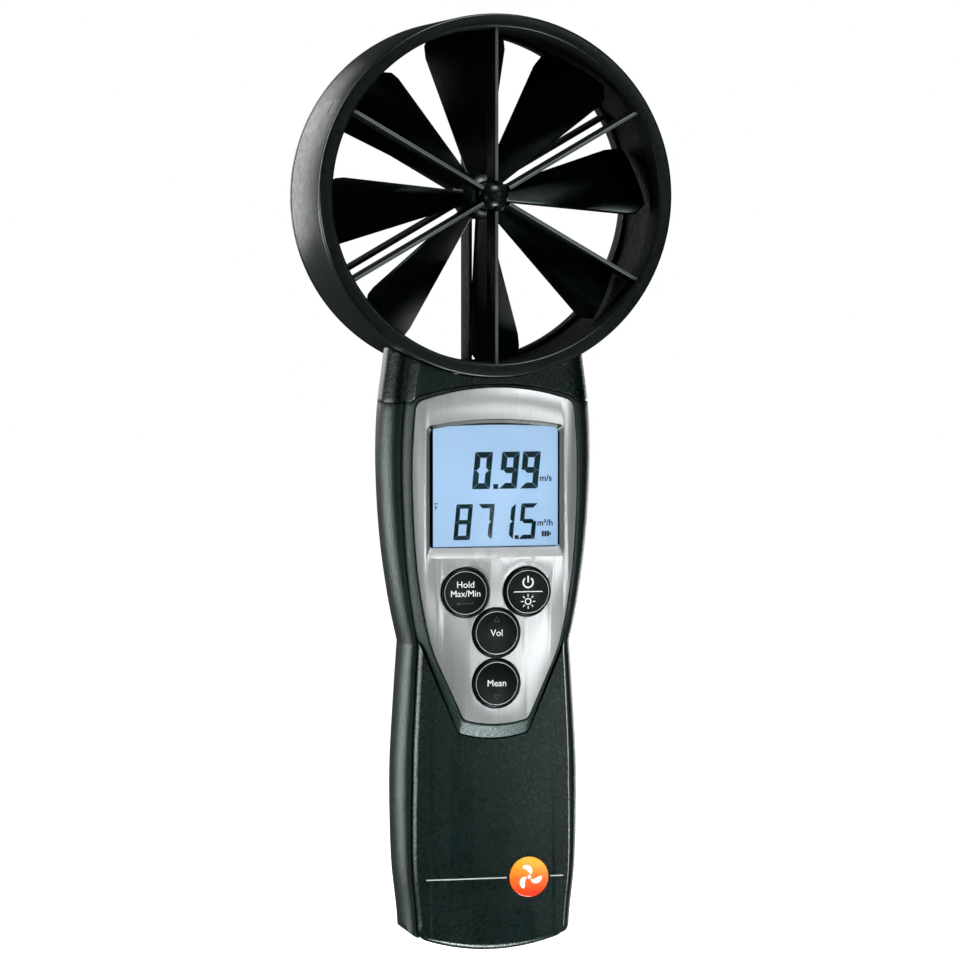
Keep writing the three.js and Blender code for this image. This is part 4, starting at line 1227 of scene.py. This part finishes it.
def battery():
    """A 9 V block: a dark wrap with a copper top, a stud and a socket."""
    section = rounded(rectangle(-13.25, -3.75, 13.25, 13.75), 1.8)
    top = BATTERY_TOP

    def case(rows, material):
        loops = [[(x, y, z) for x, y in inset(section, deep)] for deep, z in rows]
        return coat(skin("tool", loops), material)

    wrap = case([(0.8, BATTERY_FOOT), (0.3, 8.65), (0, 9.2), (0, 41.5), (0, 42.0)], mat_label)
    foil = case([(0.0, 42.0), (0, top - 0.7), (0.3, top - 0.15), (0.8, top)], mat_copper)
    stud = turned_up("tool", [(0, top - 0.2), (2.8, top - 0.2), (2.8, top + 0.5), (2.4, top + 0.7),
                              (2.4, top + 1.5), (2.8, top + 1.8), (2.6, top + 2.2), (0, top + 2.2)],
                     *BATTERY_STUD)
    socket = turned_up("tool", [(0, top - 0.2), (3.4, top - 0.2), (3.7, top + 0.4), (3.7, top + 2.0),
                                (3.4, top + 2.2), (2.6, top + 2.2), (2.6, top + 0.6), (0, top + 0.6)],
                       *BATTERY_SOCKET, 6)
    return smooth(merge("battery_visual", [wrap, foil, coat(stud, mat_steel), coat(socket, mat_steel)]), 35)


def battery_clip():
    z = BATTERY_TOP + GAP
    plate = block((-12.75, -2.75, z), (12.75, 12.75, z + 4), "battery_clip_visual")
    cut(plate, rod_up(3.1, z - 1, z + 2.6, *BATTERY_STUD), rod_up(4.1, z - 1, z + 2.6, *BATTERY_SOCKET))
    bevel(plate, 0.6, 3, 50)
    return coat(smooth(plate), mat_black)


def lead(name, points, radius, material):
    curve = bpy.data.curves.new(name, "CURVE")
    curve.dimensions = "3D"
    curve.bevel_depth = radius * MM
    curve.bevel_resolution = 5
    curve.resolution_u = 16
    curve.use_fill_caps = True
    spline = curve.splines.new("NURBS")
    spline.points.add(len(points) - 1)
    for control, p in zip(spline.points, points):
        control.co = (*(Vector(p) * MM), 1)
    spline.order_u = 4
    spline.use_endpoint_u = True
    temporary = new_object(name, curve)
    mesh = settled_mesh(temporary)
    bpy.data.objects.remove(temporary)
    return coat(smooth(new_object(name, mesh), 60), material)


SIDES = {"left": -1, "right": 1}
for row, (x, z) in HOUSING_SCREWS.items():
    for which, side in SIDES.items():
        screw = cross_screw(f"{row}_{which}_cross_screw", side * x, z, 14.8, 2.2, -9)
        stand_for(screw, f"{row}_screw_{which}", "housing", "screw_dark")
for which, side in SIDES.items():
    screw = cross_screw(f"neck_{which}_cross_screw", side * NECK_SCREW[0], NECK_SCREW[1], 16.5, 1.4, 11)
    stand_for(screw, f"neck_screw_{which}", "housing", "screw_dark")

stand_for(battery(), "battery", "housing", "battery_case")
stand_for(battery_clip(), "battery_clip", "housing", "lead_black")
RED_ROUTE = [(4, 3, 59.8), (5, -1, 66), (6, -5, 72), (6, -6.2, 80)]
LEADS = {
    "battery_lead_red": (RED_ROUTE, 0.7, mat_red, "lead_red"),
    "battery_lead_black": ([(-x, y, z) for x, y, z in RED_ROUTE], 0.7, mat_black, "lead_black"),
    "pickup_lead": ([(0, 0, 163.8), (0, -1.5, 161), (0, -4.5, 156), (0, -6.4, 150)], 0.9, mat_black,
                    "lead_black"),
    "probe_lead": ([(8, 12.6, 163.4), (8, 8, 160), (8, -2, 154), (8, -6.4, 148)], 0.8, mat_black,
                   "lead_black"),
}
for node, (points, radius, material, slot) in LEADS.items():
    stand_for(lead(node + "_wire", points, radius, material), node, "housing", slot)

pickup_top = RING_Z - RING_BORE + 0.2
pickup_profile = [(0, 164.4), (4.2, 164.4), (4.4, 164.6), (4.4, 166.2), (4.2, 166.4), (2.6, 166.4),
                  (2.6, pickup_top - 0.3), (2.3, pickup_top), (0, pickup_top)]
pickup = turned_up("pickup_visual", pickup_profile, *PICKUP_AT)
stand_for(coat(smooth(pickup), mat_rubber), "spin_pickup", "housing", "rubber_grey")
probe_top = RING_Z - 42.6
probe_profile = [(0, 164.6), (1.2, 164.6), (1.2, probe_top - 1.3), (0.8, probe_top - 1.0),
                 (0.8, probe_top - 0.4), (0.6, probe_top - 0.1), (0, probe_top)]
probe = turned_up("probe_visual", probe_profile, *PROBE_AT, 32)
stand_for(coat(smooth(probe), mat_steel), "temperature_probe", "housing", "steel")

# these CAD nodes are seen only with the housing open, so they keep their own meshes
PLAIN_NODES = {"keypad_mat": (mat_rubber, "rubber_grey"), "circuit_board": (mat_board, "board_green"),
               "board_screw_1": (mat_steel, "steel"), "board_screw_2": (mat_steel, "steel")}
for node, (material, slot) in PLAIN_NODES.items():
    coat(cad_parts[node], material)


# ---------------------------------------------------------------- floor, light and camera
def stage_floor():
    """A pale floor, low enough to show the battery cover slid right off its handle.

    Only the camera sees it, so that the black plastics reflect the lights alone.
    """
    bm = bmesh.new()
    bmesh.ops.create_circle(bm, cap_ends=True, radius=4.0, segments=96)
    floor = made("floor", bm)
    floor.location.z = -(COVER_TRAVEL + 4) * MM
    floor.visible_diffuse = floor.visible_glossy = floor.visible_transmission = floor.visible_shadow = False
    n = Nodes("pale floor", Roughness=0.9, Emission_Color=(1, 1, 1, 1), Specular_IOR_Level=0.0)
    n.feed("Base Color", n.colours(n.noise(3.0), (0.3, (0.86, 0.86, 0.86)), (0.7, (0.9, 0.9, 0.9))))
    reach = n.add("VectorMath")
    reach.operation = "LENGTH"
    n.link(n.place, reach.inputs[0])
    n.feed("Emission Strength", n.spread(reach.outputs["Value"], 0.8, 1.0, 0.06, 0.5))
    coat(floor, n.material)


def turn_to(ob, direction):
    """Turns a light or the camera to look along a direction."""
    ob.rotation_mode = "QUATERNION"
    ob.rotation_quaternion = direction.to_track_quat("-Z", "Y")


def area_light(name, place, target, size, brightness):
    """A soft box; its power follows from its size and how bright its face looks."""
    data = bpy.data.lights.new(name, "AREA")
    data.shape = "RECTANGLE"
    data.size, data.size_y = size
    data.energy = brightness * math.pi * size[0] * size[1]
    light = new_object(name, data)
    light.location = place
    light.visible_camera = False
    turn_to(light, Vector(target) - Vector(place))


def world_light():
    """White as the camera sees it, and nearly dark as the object does."""
    world = bpy.data.worlds.new("studio")
    bpy.context.scene.world = world
    world.use_nodes = True
    tree = world.node_tree
    lit = tree.nodes["Background"]
    seen = tree.nodes.new("ShaderNodeBackground")
    for background, strength in ((lit, 0.02), (seen, 1.0)):
        background.inputs["Color"].default_value = (1, 1, 1, 1)
        background.inputs["Strength"].default_value = strength
    mix = tree.nodes.new("ShaderNodeMixShader")
    path = tree.nodes.new("ShaderNodeLightPath")
    tree.links.new(path.outputs["Is Camera Ray"], mix.inputs["Fac"])
    tree.links.new(lit.outputs["Background"], mix.inputs[1])
    tree.links.new(seen.outputs["Background"], mix.inputs[2])
    tree.links.new(mix.outputs["Shader"], tree.nodes["World Output"].inputs["Surface"])


stage_floor()
world_light()
# name, place and target in metres, width and height, brightness
area_light("left", (-0.95, 0.25, 0.02), (0, 0, 0.14), (0.9, 0.26), 13)
area_light("rear high", (-0.17, 0.97, 0.31), (0, 0, 0.14), (0.36, 0.36), 1.9)
area_light("overhead", (0, -0.4, 1.2), (0, 0, 0.1), (0.5, 0.4), 30)
area_light("right rear low", (0.7, 0.7, 0.0), (0, 0, 0.14), (0.36, 0.33), 6)
area_light("handle right", (0.18, -0.33, 0.02), (0.01, 0, 0.04), (0.06, 0.08), 8)
area_light("plate middle", (0.125, -0.5, 0.065), (0, 0, 0.12), (0.05, 0.05), 14)
area_light("plate left", (-0.18, -0.95, 0.18), (0, 0, 0.14), (0.14, 0.16), 5)
area_light("front right", (0.4, -0.85, 0.45), (0, 0, 0.2), (0.3, 0.14), 8)
area_light("below", (0.03, -0.2, -0.55), (0, 0, 0.1), (0.3, 0.2), 55)

bpy.context.scene.view_settings.view_transform = "Standard"

camera_data = bpy.data.cameras.new("camera")
camera_data.sensor_width = 36
camera_data.lens = CAMERA_LENS
camera_data.clip_start = 0.05
camera_data.clip_end = 50
camera = new_object("camera", camera_data)
azimuth, elevation = math.radians(CAMERA_AZIMUTH), math.radians(CAMERA_ELEVATION)
level = math.cos(elevation)
back = Vector((math.sin(azimuth) * level, -math.cos(azimuth) * level, math.sin(elevation)))
camera.location = Vector(CAMERA_AIM) * MM + back * CAMERA_DISTANCE
turn_to(camera, -back)
bpy.context.scene.camera = camera
